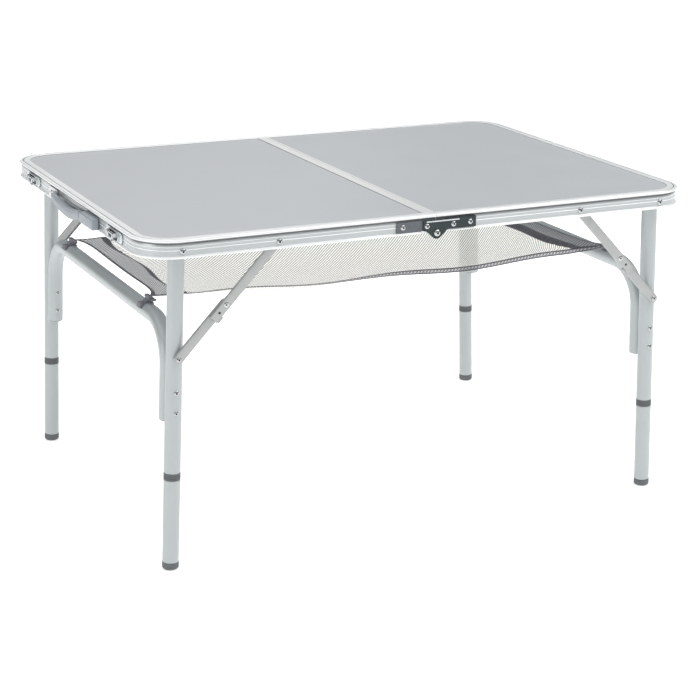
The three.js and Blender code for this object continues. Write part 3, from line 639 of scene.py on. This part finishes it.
def leg_collar(place, x, y):
    """A ring with two fine grooves between the tubes, and the spigots inside them."""
    spigot = SPIGOT_RADIUS
    rim = TUBE_RADIUS + FIT_GAP
    base, top = COLLAR_LOW, COLLAR_HIGH
    low, high = base - SPIGOT, top + SPIGOT
    groove = rim - GROOVE_DEPTH
    profile = [(0, low), (spigot - MM, low), (spigot, low + MM), (spigot, base),
               (rim - 0.4 * MM, base), (rim, base + 0.5 * MM)]
    for height in COLLAR_GROOVES:
        mark = base + height
        profile += [(rim, mark), (groove, mark + 0.3 * MM), (groove, mark + 1.3 * MM),
                    (rim, mark + 1.6 * MM)]
    profile += [(rim, top - 0.5 * MM), (rim - 0.4 * MM, top), (spigot, top), (spigot, high - MM),
                (spigot - MM, high), (0, high)]
    turned(f"{place}_collar", profile, (x, y, 0), ring_plastic, f"lower_leg_{place}",
           replaced=f"leg_collar_{place}", splay=math.copysign(1, x - CENTRE_X))


def leg_foot(place, x, y):
    """A rounded cap whose underside is level, though the leg leans."""
    rim = TUBE_RADIUS + 0.4 * MM
    profile = [(0, -2 * MM), (rim - 3.2 * MM, -2 * MM)]
    profile += [(rim - 2.4 * MM + 2.4 * MM * math.cos(math.radians(a)),
                 3.4 * MM + 2.4 * MM * math.sin(math.radians(a))) for a in range(-75, 1, 15)]
    profile += [(rim, FOOT_HIGH - 0.8 * MM), (rim - 0.7 * MM, FOOT_HIGH), (SPIGOT_RADIUS, FOOT_HIGH),
                (SPIGOT_RADIUS, FOOT_HIGH + SPIGOT), (0, FOOT_HIGH + SPIGOT)]
    points, faces = lathe(profile, (x, y, 0))
    points = [splayed(math.copysign(1, x - CENTRE_X), point) for point in points]
    points = [Vector((point.x, point.y, max(point.z, 0))) for point in points]
    make(f"{place}_foot", points, faces, ring_plastic, f"lower_leg_{place}", f"foot_{place}")


def cross_tube(side, x):
    """The bent tube between two legs, with dark plugs in its ends."""
    splay = math.copysign(1, x - CENTRE_X)
    reach, run_z, bend = CROSS_REACH, CROSS_RUN_Z, CROSS_BEND
    route = [(reach, CROSS_END_Z, 0.0), (reach, CROSS_END_Z + RIM, 0.0)]
    for sign_y, start in ((1, 0), (-1, 90)):
        for step in range(BEND_STEPS + 1):
            angle = start + 90 * step / BEND_STEPS
            turn = math.radians(angle)
            route.append((sign_y * (reach - bend) + bend * math.cos(turn),
                          run_z - bend + bend * math.sin(turn), angle))
    route += [(-reach, CROSS_END_Z + RIM, 180.0), (-reach, CROSS_END_Z, 180.0)]
    skins = []
    for radius, rim in ((TUBE_RADIUS, RIM), (TUBE_RADIUS - TUBE_WALL, 0)):
        rings = []
        for index, (y, z, angle) in enumerate(route):
            size = radius - (rim if index in (0, len(route) - 1) else 0)
            turn = math.radians(angle)
            ring = []
            for i in range(TUBE_SIDES):
                around = 2 * math.pi * i / TUBE_SIDES
                outward = size * math.cos(around)
                ring.append(Vector((x + size * math.sin(around), y + outward * math.cos(turn),
                                    z + outward * math.sin(turn))))
            rings.append(ring)
        skins.append(rings)
    points, faces = open_tube(*skins)
    body = f"{side}_leg_set"
    make(f"{side}_cross_tube", points, faces, tube_paint, body, f"cross_tube_{side}", splay=splay)
    rim = TUBE_RADIUS - TUBE_WALL
    edge = TUBE_RADIUS - 0.9 * MM
    profile = [(0, -1.2 * MM), (rim, -1.2 * MM), (edge, -0.6 * MM), (edge, 0), (rim - FIT_GAP, 0),
               (rim - FIT_GAP, PLUG_DEPTH), (0, PLUG_DEPTH)]
    for face, sign in FACES:
        centre = (x, sign * reach, CROSS_END_Z)
        turned(f"{side}_{face}_cross_tube_plug", profile, centre, dark_plastic, body, splay=splay)


CROSS_RIVET_HEIGHTS = (359 * MM, 319 * MM)
LEG_TOP = 7 * MM
PIVOT_SHANK = [(0, 0), (6, 0), (6, 1.6), (4, 1.6), (4, 35.7), (6.6, 35.7), (6.6, 49.6), (0, 49.6)]

for side, sign_x in SIDES:
    leg_x = CENTRE_X + sign_x * LEG_X
    cross_tube(side, leg_x)
    for face, sign_y in FACES:
        place = f"{side}_{face}"
        leg_y = sign_y * LEG_Y
        straight_tube(f"{place}_upper_leg", leg_x, leg_y, COLLAR_HIGH + FIT_GAP, PIVOT_Z + LEG_TOP,
                      f"{side}_leg_set", f"upper_leg_{place}")
        straight_tube(f"{place}_lower_leg", leg_x, leg_y, FOOT_HIGH + FIT_GAP, COLLAR_LOW - FIT_GAP,
                      f"lower_leg_{place}", f"lower_leg_{place}")
        leg_collar(place, leg_x, leg_y)
        leg_foot(place, leg_x, leg_y)
        outer_y = leg_y + sign_y * (TUBE_RADIUS - RIM)
        inner_y = sign_y * (CROSS_REACH - TUBE_RADIUS + RIM)
        for index, height in enumerate(CROSS_RIVET_HEIGHTS):
            blind_rivet(f"{place}_cross_rivet_{index + 1}", (leg_x, outer_y, height), sign_y,
                        f"{side}_leg_set", 5.4, splay=sign_x)
            blind_rivet(f"{place}_cross_rivet_inner_{index + 1}", (leg_x, inner_y, height), -sign_y,
                        f"{side}_leg_set", 4.6, splay=sign_x)
        blind_rivet(f"{place}_leg_pivot", (leg_x, sign_y * WAIST, PIVOT_Z), sign_y, f"{side}_leaf",
                    6.2, replaced=f"leg_pivot_{place}")
        centre = (leg_x, sign_y * (LEG_Y - TUBE_RADIUS - 2 * MM), PIVOT_Z)
        turned(f"{place}_leg_pivot_shank", in_mm(PIVOT_SHANK), centre, bright_steel, f"{side}_leaf", "y",
               sign_y, 24)

# ---------------------------------------------------------------- braces

LINK_HALF_WIDTH = 9.5 * MM
LINK_WALL = 1.4 * MM
UPPER_LENGTH, LOWER_LENGTH, OVERRUN = 153.92 * MM, 135.42 * MM, 38 * MM
BRACE_DROP = 210 * MM
UPPER_LINK_FACE, LOWER_LINK_FACE = 427.6 * MM, 420.2 * MM
LINK_RINGS = ((1.5, 0.0), (0.7, 0.15), (0.2, 0.6), (0.0, 1.4), (0.0, 5.0))
STOP_START, STOP_END, STOP_WIDTH = 22 * MM, 36 * MM, 3.5 * MM
BRACE_SHANK = [(0, 0), (5, 0), (5, 1.8), (3.5, 2), (3.5, 7.6), (0, 7.6)]


def link_outline(length, overrun, half):
    outline = arc(0, 0, half, 90, 270, 14)
    if overrun:
        corner = 1.5 * MM
        outline += arc(length + overrun - corner, -half + corner, corner, -90, 0, 4)
        outline += arc(length + overrun - corner, half - corner, corner, 0, 90, 4)
    else:
        outline += arc(length, 0, half, -90, 90, 14)
    return outline


def channel_link(name, sign_y, outer, length, overrun, spot, angle, body):
    """A pressed channel: a flat web with rounded, turned-in flanges. Returns its placing function."""
    turn = math.radians(angle)

    def put(u, v, level):
        x = spot[0] + u * math.cos(turn) - v * math.sin(turn)
        z = spot[1] + u * math.sin(turn) + v * math.cos(turn)
        return Vector((x, sign_y * level, z))

    rings = []
    for inset, depth in LINK_RINGS:
        end = overrun - inset * MM if overrun else 0
        outline = link_outline(length, end, LINK_HALF_WIDTH - inset * MM)
        rings.append([put(u, v, outer - depth * MM) for u, v in outline])
    inner_end = overrun - LINK_WALL if overrun else 0
    outline = link_outline(length, inner_end, LINK_HALF_WIDTH - LINK_WALL)
    for depth in (5.0, 1.5):
        rings.append([put(u, v, outer - depth * MM) for u, v in outline])
    make(name, *skin(rings), link_steel, body, body, sharp=50)
    return put


def brace(side, sign_x, face, sign_y):
    """The two links of a brace, the stop on the upper one, and their rivets and pins."""
    place = f"{side}_{face}"
    top = (CENTRE_X + sign_x * BRACE_TOP_OFF, PIVOT_Z)
    spot = splayed(sign_x, (CENTRE_X + sign_x * LEG_X, 0, PIVOT_Z - BRACE_DROP))
    foot = (spot.x, spot.z)
    lean = math.degrees(math.atan2(top[1] - foot[1], abs(foot[0] - top[0])))
    down = -lean if sign_x > 0 else lean - 180
    up = 180 - lean if sign_x > 0 else lean
    outer_upper, outer_lower = UPPER_LINK_FACE, LOWER_LINK_FACE
    upper_body, lower_body = f"brace_upper_{place}", f"brace_lower_{place}"
    put_upper = channel_link(f"{place}_upper_link", sign_y, outer_upper, UPPER_LENGTH, OVERRUN, top,
                             down, upper_body)
    put_lower = channel_link(f"{place}_lower_link", sign_y, outer_lower, LOWER_LENGTH, 0.0, foot, up,
                             lower_body)
    # the stop: a lip on the outer edge that is folded in beside the lower link
    edges = sorted((-LINK_HALF_WIDTH * sign_x, -LINK_HALF_WIDTH * sign_x - STOP_WIDTH * sign_x))
    outline = rounded_box_outline(UPPER_LENGTH + STOP_START, UPPER_LENGTH + STOP_END, *edges, 1.2 * MM)
    make(f"{place}_link_stop", *slab(outline, outer_upper - 4.8 * MM, outer_upper - 0.8 * MM, put_upper),
         link_steel, upper_body, bevel=0.5 * MM)
    # a dark disc where the link's hole is: painted shade
    dimple = arc(UPPER_LENGTH + 20 * MM, 0, 2.6 * MM, 0, 342, 19)
    make(f"{place}_link_hole_shade", *slab(dimple, outer_upper - 1.0 * MM, outer_upper + 0.05 * MM, put_upper),
         hole_shade, upper_body)
    for tag, put, along, level, body, flat in (
        ("elbow", put_upper, UPPER_LENGTH, outer_upper, upper_body, 0.36),
        ("leg", put_lower, 0.0, outer_lower, lower_body, 1.0),
    ):
        spot = put(along, 0, level)
        blind_rivet(f"{place}_{tag}_rivet", spot, sign_y, body, 5.4, flat=flat)
    blind_rivet(f"{place}_brace_pivot", (top[0], sign_y * WAIST, top[1]), sign_y, f"{side}_leaf", 6.2,
                replaced=f"brace_pivot_{place}")
    for tag, put, along, inner, outer, radius, body in (
        ("elbow_pin", put_upper, UPPER_LENGTH, 416.6, 426.2, 3.0, upper_body),
        ("leg_pin", put_lower, 0.0, 408.2, 418.8, 4.4, lower_body),
    ):
        rod(f"{place}_{tag}", radius * MM, (outer - inner) * MM, put(along, 0, inner * MM), bright_steel,
            body, "y", sign_y, 20)
    centre = (top[0], sign_y * 423.7 * MM, top[1])
    turned(f"{place}_brace_pivot_shank", in_mm(BRACE_SHANK), centre, bright_steel, f"{side}_leaf", "y",
           sign_y, 20)


for side, sign_x in SIDES:
    for face, sign_y in FACES:
        brace(side, sign_x, face, sign_y)

# ---------------------------------------------------------------- centre hinges

PLATE_LOW, PLATE_HIGH = FRAME_BOTTOM + 5.8 * MM, FRAME_BOTTOM + 26.6 * MM
LOBE, LOBE_REACH, LOBE_SHOULDER = 12 * MM, 30 * MM, 22 * MM
HINGE_REACH = 86 * MM
REAR_LEAF_FACES = (WAIST + SEAT_GAP, WAIST + 3.6 * MM)
FRONT_LEAF_FACES = (435.3 * MM, 437.5 * MM)
HINGE_BOSS = [(9.2, 0), (9.2, 0.5), (10.0, 0.9), (10.8, 0.9), (11.4, 0.4), (11.4, 0)]
HINGE_SHANK = [(0, 0), (6.5, 0), (6.5, 1.7), (4.1, 1.7), (4.1, 8), (0, 8)]


def hinge(face, sign):
    """Two leaves: a grey one behind, and a dark one over it with a lip painted bright as a painted
    highlight, and the pin.
    """
    put = on_face(sign, CENTRE_X)
    inner, outer = REAR_LEAF_FACES, FRONT_LEAF_FACES
    shoulder = PLATE_LOW - 1.6 * MM
    bar = [(-2 * MM, PLATE_LOW), (-2 * MM, PLATE_HIGH), (-HINGE_REACH, PLATE_HIGH),
           (-HINGE_REACH, PLATE_LOW), (-LOBE_REACH, PLATE_LOW), (-LOBE_SHOULDER, shoulder)]
    bar += arc(0, FRAME_BOTTOM, LOBE, 222, 304, 14)
    bar += [(11 * MM, FRAME_BOTTOM - 2 * MM), (11 * MM, PLATE_LOW - 5 * MM),
            (-1 * MM, PLATE_LOW - 4 * MM)]
    make(f"{face}_hinge_plate_left", *slab(bar, *inner, put),
         blue_steel, "left_leaf", f"hinge_plate_left_{face}",
         bevel=0.5 * MM)
    outline = [(HINGE_REACH, PLATE_LOW), (HINGE_REACH, PLATE_HIGH), (-LOBE_REACH, PLATE_HIGH),
               (-LOBE_REACH, PLATE_LOW), (-LOBE_SHOULDER, shoulder)]
    outline += arc(0, FRAME_BOTTOM, LOBE, 222, 318, 16)
    outline += [(LOBE_SHOULDER, shoulder), (LOBE_REACH, PLATE_LOW)]
    parts = [slab(outline, *outer, put)]
    spacer = rounded_box_outline(18 * MM, HINGE_REACH, PLATE_LOW, PLATE_HIGH, MM)
    parts.append(slab(spacer, inner[0], outer[0] + 0.2 * MM, put))
    make(f"{face}_hinge_plate_right", *merge(*parts), dark_steel, "right_leaf",
         f"hinge_plate_right_{face}", bevel=0.5 * MM)
    # the bent top edge of the dark leaf, given the bright plated colour as a painted highlight
    left, right, low, high = -24 * MM, 48 * MM, PLATE_HIGH - 4.4 * MM, PLATE_HIGH - 1.8 * MM
    flange = [(left, low), (right, low), (right, high), (left, high)]
    make(f"{face}_hinge_flange_highlight", *slab(flange, outer[0] + MM, outer[1] + 2.0 * MM, put),
         plate_steel, "right_leaf", bevel=0.4 * MM)
    centre = put(0, FRAME_BOTTOM, outer[1] - 0.3 * MM)
    turned(f"{face}_hinge_boss", in_mm(HINGE_BOSS), centre, dark_steel, "right_leaf", "y", sign, 36)
    middle_z = (PLATE_LOW + PLATE_HIGH) / 2
    for index, (u, level, body) in enumerate((
        (-73, inner[1], "left_leaf"), (-22, outer[1], "right_leaf"),
        (36, outer[1], "right_leaf"), (73, outer[1], "right_leaf"),
    )):
        spot = put(u * MM, middle_z - (0 if abs(u) > 40 else 1.4 * MM), level)
        blind_rivet(f"{face}_hinge_rivet_{index + 1}", spot, sign, body, 5.6)
    spot = put(0, FRAME_BOTTOM, outer[1] + 0.3 * MM)
    blind_rivet(f"{face}_hinge_pin_head", spot, sign, "left_leaf", 7.0, replaced=f"hinge_pin_{face}")
    centre = put(0, FRAME_BOTTOM, inner[0] - 2 * MM)
    turned(f"{face}_hinge_pin", in_mm(HINGE_SHANK), centre, bright_steel, "left_leaf", "y", sign, 24)


for face, sign in FACES:
    hinge(face, sign)

# ---------------------------------------------------------------- net clips

CLIP_Y = 245 * MM
SADDLE_OUTER, SADDLE_INNER, SADDLE_START, SADDLE_END = 18.4, 16.3, 20, 128
SADDLE_HALF = 9
EYE_CENTRE, EYE_RADIUS, EYE_THICKNESS = (-6, 23, 13), 7.2, 1.8
EYE_STEPS, EYE_SIDES = 24, 8


def net_clip(side, sign_x, face, sign_y):
    """A saddle over the cross tube, a post on it, and an eye for the net's corner, all in mm."""
    place = f"{side}_{face}"
    centre_x = CENTRE_X + sign_x * LEG_X
    centre_y = sign_y * CLIP_Y

    def put(u, v, level):
        return Vector((centre_x + sign_x * u, centre_y + sign_y * level, CROSS_RUN_Z + v))

    def block(outline, low, high):
        return slab([(u * MM, v * MM) for u, v in outline], low * MM, high * MM, put)

    saddle = arc(0, 0, SADDLE_OUTER, SADDLE_START, SADDLE_END, 22)
    saddle += arc(0, 0, SADDLE_INNER, SADDLE_END, SADDLE_START, 22)
    heel = [(15.0, 7), (20.0, 7), (17.0, 16), (10.5, 17)]
    post = [(-9, 16.8), (9, 16.2), (7, 20), (2.0, 25.2), (-9, 26.5), (-12, 22)]
    bar = [(-6, 23.5), (2.4, 23.5), (3.0, 26.5), (1.6, 29.6), (-5, 29.6)]
    shapes = ((saddle, SADDLE_HALF), (post, 6.5), (bar, 12), (heel, SADDLE_HALF))
    parts = [block(outline, -half, half) for outline, half in shapes]
    eye = []
    for step in range(EYE_STEPS):
        turn = 2 * math.pi * step / EYE_STEPS
        ring = []
        for i in range(EYE_SIDES):
            around = 2 * math.pi * i / EYE_SIDES
            reach = EYE_RADIUS + EYE_THICKNESS * math.cos(around)
            u, v, level = EYE_CENTRE
            ring.append(put((u + reach * 0.8 * math.cos(turn)) * MM, (v + 1.5 * math.sin(around)) * MM,
                            (level + reach * math.sin(turn)) * MM))
        eye.append(ring)
    parts.append(skin(eye, loop=True))
    make(f"{place}_net_clip", *merge(*parts), dark_plastic, f"{side}_leg_set", f"net_clip_{place}",
         bevel=0.9 * MM, splay=sign_x)


for side, sign_x in SIDES:
    for face, sign_y in FACES:
        net_clip(side, sign_x, face, sign_y)

# ---------------------------------------------------------------- handle and latches

END_X = frame_low[0]
END_SEAT = -WAIST_DEPTH
HANDLE_PIVOT_Z = FRAME_BOTTOM + 17 * MM
HANDLE_X = END_X - 7 * MM
HANDLE_HALF_SPAN = 90.5 * MM
HANDLE_STEPS = 40
GRIP_HALF_HEIGHT, GRIP_SWELL, GRIP_HALF_THICKNESS = 8.5, 3, 5 * MM
BOW_DROP, GRIP_END_SIZE = 12 * MM, 0.93
HANDLE_PIN = [(0, 0), (3.4, 0), (3.4, 13), (2.6, 14), (0, 14)]
LATCH_Y, LATCH_HALF, LATCH_RIM_HALF = 268 * MM, 46 * MM, 30 * MM


def handle_grip():
    """A curved bow: a rounded upper edge, a crease under it, and a flat side."""
    half = [(0.45, 1.0), (0.80, 0.90), (0.98, 0.74), (0.98, 0.62), (0.80, 0.54), (0.86, 0.48),
            (0.98, 0.40), (1.0, -0.55), (0.92, -0.80), (0.70, -0.94), (0.35, -1.0)]
    section = half + [(-across, up) for across, up in reversed(half)]
    rings = []
    for step in range(HANDLE_STEPS + 1):
        along = -1 + 2 * step / HANDLE_STEPS
        bow = 1 - along * along
        centre_z = HANDLE_PIVOT_Z - MM - BOW_DROP * bow
        half_height = (GRIP_HALF_HEIGHT + GRIP_SWELL * bow) * MM
        size = GRIP_END_SIZE if step in (0, HANDLE_STEPS) else 1.0
        rings.append([Vector((HANDLE_X - GRIP_HALF_THICKNESS * across * size, along * HANDLE_HALF_SPAN,
                              centre_z + half_height * up * size)) for across, up in section])
    make("handle_bow", *skin(rings), grey_plastic, "handle", "handle_grip", sharp=40, bevel=0.3 * MM)
    for face, sign in FACES:
        centre = (HANDLE_X, sign * (HANDLE_HALF_SPAN - 2 * MM), HANDLE_PIVOT_Z)
        turned(f"handle_{face}_pin", in_mm(HANDLE_PIN), centre, dark_steel, "handle", "y", sign, 20)


def on_end():
    """Places (u, v, level) on the left end: u along Y, v up, level outward."""
    return lambda u, v, level: Vector((END_X - level, u, v))


def handle_mounts():
    """The plate behind the handle's rear end, and the moulded block over its front end."""
    put = on_end()
    waist = END_SEAT
    low_y, high_y = 93 * MM, 150 * MM
    outline = rounded_box_outline(low_y, high_y, PLATE_LOW, PLATE_HIGH, 1.5 * MM)
    parts = [slab(outline, waist + SEAT_GAP, waist + 2.8 * MM, put)]
    knuckle = rounded_box_outline(low_y, low_y + 16 * MM, HANDLE_PIVOT_Z - 7 * MM,
                                  HANDLE_PIVOT_Z + 6 * MM, 2 * MM)
    parts.append(slab(knuckle, waist + MM, 12 * MM, put))
    make("handle_rear_plate", *merge(*parts), plate_steel, "left_leaf", "handle_plate", bevel=0.5 * MM)
    spot = put(low_y + 36 * MM, (PLATE_LOW + PLATE_HIGH) / 2, waist + 2.8 * MM)
    blind_rivet("handle_plate_rivet", spot, -1, "left_leaf", 5.0, "x")
    near, far = -97 * MM, -177 * MM
    low_z, high_z = FRAME_BOTTOM + 3 * MM, FRAME_BOTTOM + 25 * MM
    rings = []
    for inset, level in ((0, 0.4), (0, 10.4), (0.5, 11.8), (1.6, 12.7), (3.0, 13.0)):
        shrink = inset * MM
        ring = rounded_box_outline(far + shrink, near - shrink * 0.3, low_z + shrink, high_z - shrink,
                                   3 * MM)
        rings.append([put(u, v, level * MM) for u, v in ring])
    parts = [skin(rings)]
    pad = rounded_box_outline(far + 4 * MM, near - 4 * MM, PLATE_LOW, PLATE_HIGH, MM)
    parts.append(slab(pad, waist + SEAT_GAP, 0.5 * MM, put))
    make("handle_front_cover", *merge(*parts), grey_plastic, "left_leaf", "handle_cover", sharp=40)


def latch(face, sign):
    """A pressed plate with a raised rim round a recess painted dark as its shade, and a hooked lever on
    a pin.
    """
    put = on_end()
    waist = END_SEAT
    centre = sign * LATCH_Y
    body = "left_leaf"
    outline = rounded_box_outline(centre - LATCH_HALF, centre + LATCH_HALF, PLATE_LOW, PLATE_HIGH,
                                  8 * MM, 8)
    parts = [slab(outline, waist + SEAT_GAP, waist + 2.4 * MM, put)]
    rim = []
    for inset, level in ((0.0, 2.0), (0.2, 4.6), (0.9, 5.4), (1.9, 5.0), (2.2, 2.0)):
        shrink = inset * MM
        ring = rounded_box_outline(centre - LATCH_RIM_HALF + shrink, centre + LATCH_RIM_HALF - shrink,
                                   PLATE_LOW + 0.4 * MM + shrink, PLATE_HIGH - 0.4 * MM - shrink,
                                   9.4 * MM - shrink, 8)
        rim.append([put(u, v, waist + level * MM) for u, v in ring])
    parts.append(skin(rim, closed_ends=False, loop=True))
    for offset in (-24 * MM, 21 * MM):
        u0 = centre + offset
        ear = rounded_box_outline(u0, u0 + 3 * MM, FRAME_BOTTOM + 15 * MM, FRAME_BOTTOM + 23 * MM,
                                  1.2 * MM)
        parts.append(slab(ear, waist + MM, 6.4 * MM, put))
    make(f"latch_{face}_plate", *merge(*parts), plate_steel, body, f"latch_plate_{face}",
         bevel=0.3 * MM)
    # a dark sheet in the recess: painted shade
    shaded_recess = rounded_box_outline(centre - 27.4 * MM, centre + 27.4 * MM, PLATE_LOW + 3 * MM,
                                 PLATE_HIGH - 3 * MM, 7 * MM, 8)
    make(f"latch_{face}_recess", *slab(shaded_recess, waist + 2.2 * MM, waist + 2.8 * MM, put), dark_steel,
         body)
    pin_x, pin_z = END_X - 2.6 * MM, FRAME_BOTTOM + 19 * MM
    rod(f"latch_{face}_pin", 1.8 * MM, 46 * MM, (pin_x, centre - 23 * MM, pin_z), bright_steel, body,
        "y", 1, 16)

    def place(u, v, level):
        return Vector((pin_x - u, centre + level, pin_z + v))

    knuckle = arc(0, 0, 2.6 * MM, 0, 345, 24)
    arm = in_mm([(1.2, 0), (3.2, 0), (3.2, -10), (5.0, -11.6), (5.0, -13), (4.2, -14), (1.6, -13)])
    lever = merge(skin([[place(u, v, level) for u, v in knuckle] for level in (-20 * MM, 20 * MM)]),
                  skin([[place(u, v, level) for u, v in arm] for level in (-14 * MM, -6 * MM)]))
    make(f"latch_{face}_lever", *lever, bright_steel, f"latch_lever_{face}", f"latch_lever_{face}",
         bevel=0.3 * MM)


handle_grip()
handle_mounts()
for face, sign in FACES:
    latch(face, sign)

# ---------------------------------------------------------------- net shelf

NET_REACH = 501 * MM
NET_HALF_WIDTH = CLIP_Y
NET_EDGE_Z = 505 * MM
BAND, INNER_TAPE, OUTER_TAPE = 46 * MM, 14 * MM, 7 * MM
FLAP = 11 * MM
SEAM_AT = 200 * MM
COLUMNS, ROWS, FLAP_ROWS = 160, 72, 4
HELD_COLUMNS = 8
PITCH_X = 2 * NET_REACH / COLUMNS
PITCH_Y = 2 * NET_HALF_WIDTH / ROWS
HEM_SAG, END_SAG, BELLY, HEM_WAVE = 14 * MM, 6 * MM, 34 * MM, 3.5 * MM
HEM_PULLED_IN = 9 * MM
BAND_LINE, BAND_SPREAD, BAND_RIPPLE, BAND_SWING = 450 * MM, 26 * MM, 5 * MM, 12 * MM
CORNER_EAR = 24 * MM
FLAP_TURN, FLAP_SWAY = 84, 14
CLOTH_FRAMES = 30


def net_rest_shape(u, v):
    """The hung net before the cloth settles: u runs along, v across, each from -1 to 1."""
    hem_sag = HEM_SAG * (1 - u * u)
    end_sag = END_SAG * (1 - v * v) * abs(u) ** 3
    belly = BELLY * (1 - v * v) * max(0, 1 - abs(u / 0.9) ** 4)
    near_band = math.exp(-((abs(u) * NET_REACH - BAND_LINE) / BAND_SPREAD) ** 2)
    wave = HEM_WAVE * math.sin(9 * u + 1.3) * v ** 8 * (1 - u ** 8)
    ripple = BAND_RIPPLE * near_band * math.sin(3.4 * v + 0.5)
    z = NET_EDGE_Z - hem_sag - end_sag - belly + wave - ripple
    ear = CORNER_EAR * abs(u) ** 24 * v ** 8
    x = CENTRE_X + u * NET_REACH + math.copysign(ear, u)
    x += BAND_SWING * near_band * math.sin(4.2 * v + 0.8) * (1 - v ** 8)
    y = v * (NET_HALF_WIDTH - HEM_PULLED_IN * (1 - u * u))
    return Vector((x, y, z))


def net_sheet():
    """The net's points, column by column, settled by cloth simulation between its held edges."""
    points = []
    for i in range(COLUMNS + 1):
        for j in range(ROWS + 1):
            points.append(net_rest_shape(-1 + 2 * i / COLUMNS, -1 + 2 * j / ROWS))
    faces = grid_faces(COLUMNS, ROWS)
    mesh = bpy.data.meshes.new("net_cloth")
    mesh.from_pydata([tuple(p) for p in points], [], faces)
    cloth = bpy.data.objects.new("net_cloth", mesh)
    bpy.context.collection.objects.link(cloth)
    held = cloth.vertex_groups.new(name="held")
    for i in range(COLUMNS + 1):
        for j in range(ROWS + 1):
            if min(i, COLUMNS - i) < HELD_COLUMNS or j in (0, ROWS):
                held.add([i * (ROWS + 1) + j], 1.0, "REPLACE")
    settings = cloth.modifiers.new("cloth", "CLOTH").settings
    settings.vertex_group_mass = "held"
    settings.quality = 6
    settings.mass = 0.15
    settings.tension_stiffness = 12
    settings.compression_stiffness = 4
    settings.shear_stiffness = 3
    settings.bending_stiffness = 0.05
    settings.shrink_min = -0.012
    settings.air_damping = 2.0
    scene = bpy.context.scene
    for number in range(1, CLOTH_FRAMES + 1):
        scene.frame_set(number)
    settled = cloth.evaluated_get(bpy.context.evaluated_depsgraph_get()).data
    result = [vertex.co.copy() for vertex in settled.vertices]
    scene.frame_set(1)
    bpy.data.objects.remove(cloth)
    return result


def net_columns():
    """Each column of the net across the table, with the twisting flap beyond each long hem."""
    sheet = net_sheet()
    columns = []
    for i in range(COLUMNS + 1):
        u = -1 + 2 * i / COLUMNS
        column = sheet[i * (ROWS + 1):(i + 1) * (ROWS + 1)]
        turn = FLAP_TURN * (1 - abs(u) ** 10) + FLAP_SWAY * math.sin(6 * u + 1.8) - FLAP_SWAY
        twist = math.radians(turn)
        # narrow on the left half, full on the right
        hang = FLAP * (0.62 + 0.38 * math.tanh(5 * (u + 0.05)))
        flaps = []
        for end, outward in ((column[0], -1), (column[-1], 1)):
            flap = []
            for step in range(1, FLAP_ROWS + 1):
                share = step / FLAP_ROWS
                flap.append(end + Vector((0, outward * hang * share * math.cos(twist) * 0.6,
                                          -hang * share * math.sin(twist))))
            flaps.append(flap)
        columns.append(list(reversed(flaps[0])) + column + flaps[1])
    return columns


def grid_faces(across, along):
    faces = []
    for i in range(across):
        for j in range(along):
            corner = i * (along + 1) + j
            faces.append((corner, corner + along + 1, corner + along + 2, corner + 1))
    return faces


def net_piece(name, columns, first, last, replaced):
    """One stretch of the net, from column first to last."""
    rows = ROWS + 2 * FLAP_ROWS
    points = [point for column in columns[first:last + 1] for point in column]
    tape_columns = round(OUTER_TAPE / PITCH_X)
    band_columns = round(BAND / PITCH_X)
    inner_columns = round((BAND + INNER_TAPE) / PITCH_X)
    slots, uvs = [], []
    for i in range(first, last):
        for j in range(rows):
            from_end = min(i, COLUMNS - 1 - i)
            from_edge = min(j, rows - 1 - j) - FLAP_ROWS
            if from_end < tape_columns or from_edge in (-1, 0, -FLAP_ROWS):
                slots.append(2)
            elif from_end < band_columns or from_edge < 0:
                slots.append(1)
            else:
                slots.append(2 if from_end < inner_columns else 0)
    for i in range(first, last + 1):
        for j in range(rows + 1):
            flap_before = min(j, FLAP_ROWS)
            flap_after = max(j - FLAP_ROWS - ROWS, 0)
            flat = j - flap_before - flap_after
            across = (flap_before + flap_after) * FLAP / FLAP_ROWS + flat * PITCH_Y
            uvs.append((i * PITCH_X, across))
    piece = make(name, points, grid_faces(last - first, rows), None, None, replaced, uvs, 180,
                 materials=[net_white, net_grey, tape], face_slots=slots)
    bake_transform(piece)
    return piece


def net_shelf():
    columns = net_columns()
    cut = round((NET_REACH - SEAM_AT) / (2 * NET_REACH) * COLUMNS)
    net_piece("net_left_end", columns, 0, cut,
              "net_left")
    net_piece("net_middle", columns, cut, COLUMNS - cut,
              ())
    net_piece("net_right_end", columns, COLUMNS - cut, COLUMNS,
              "net_right")


net_shelf()
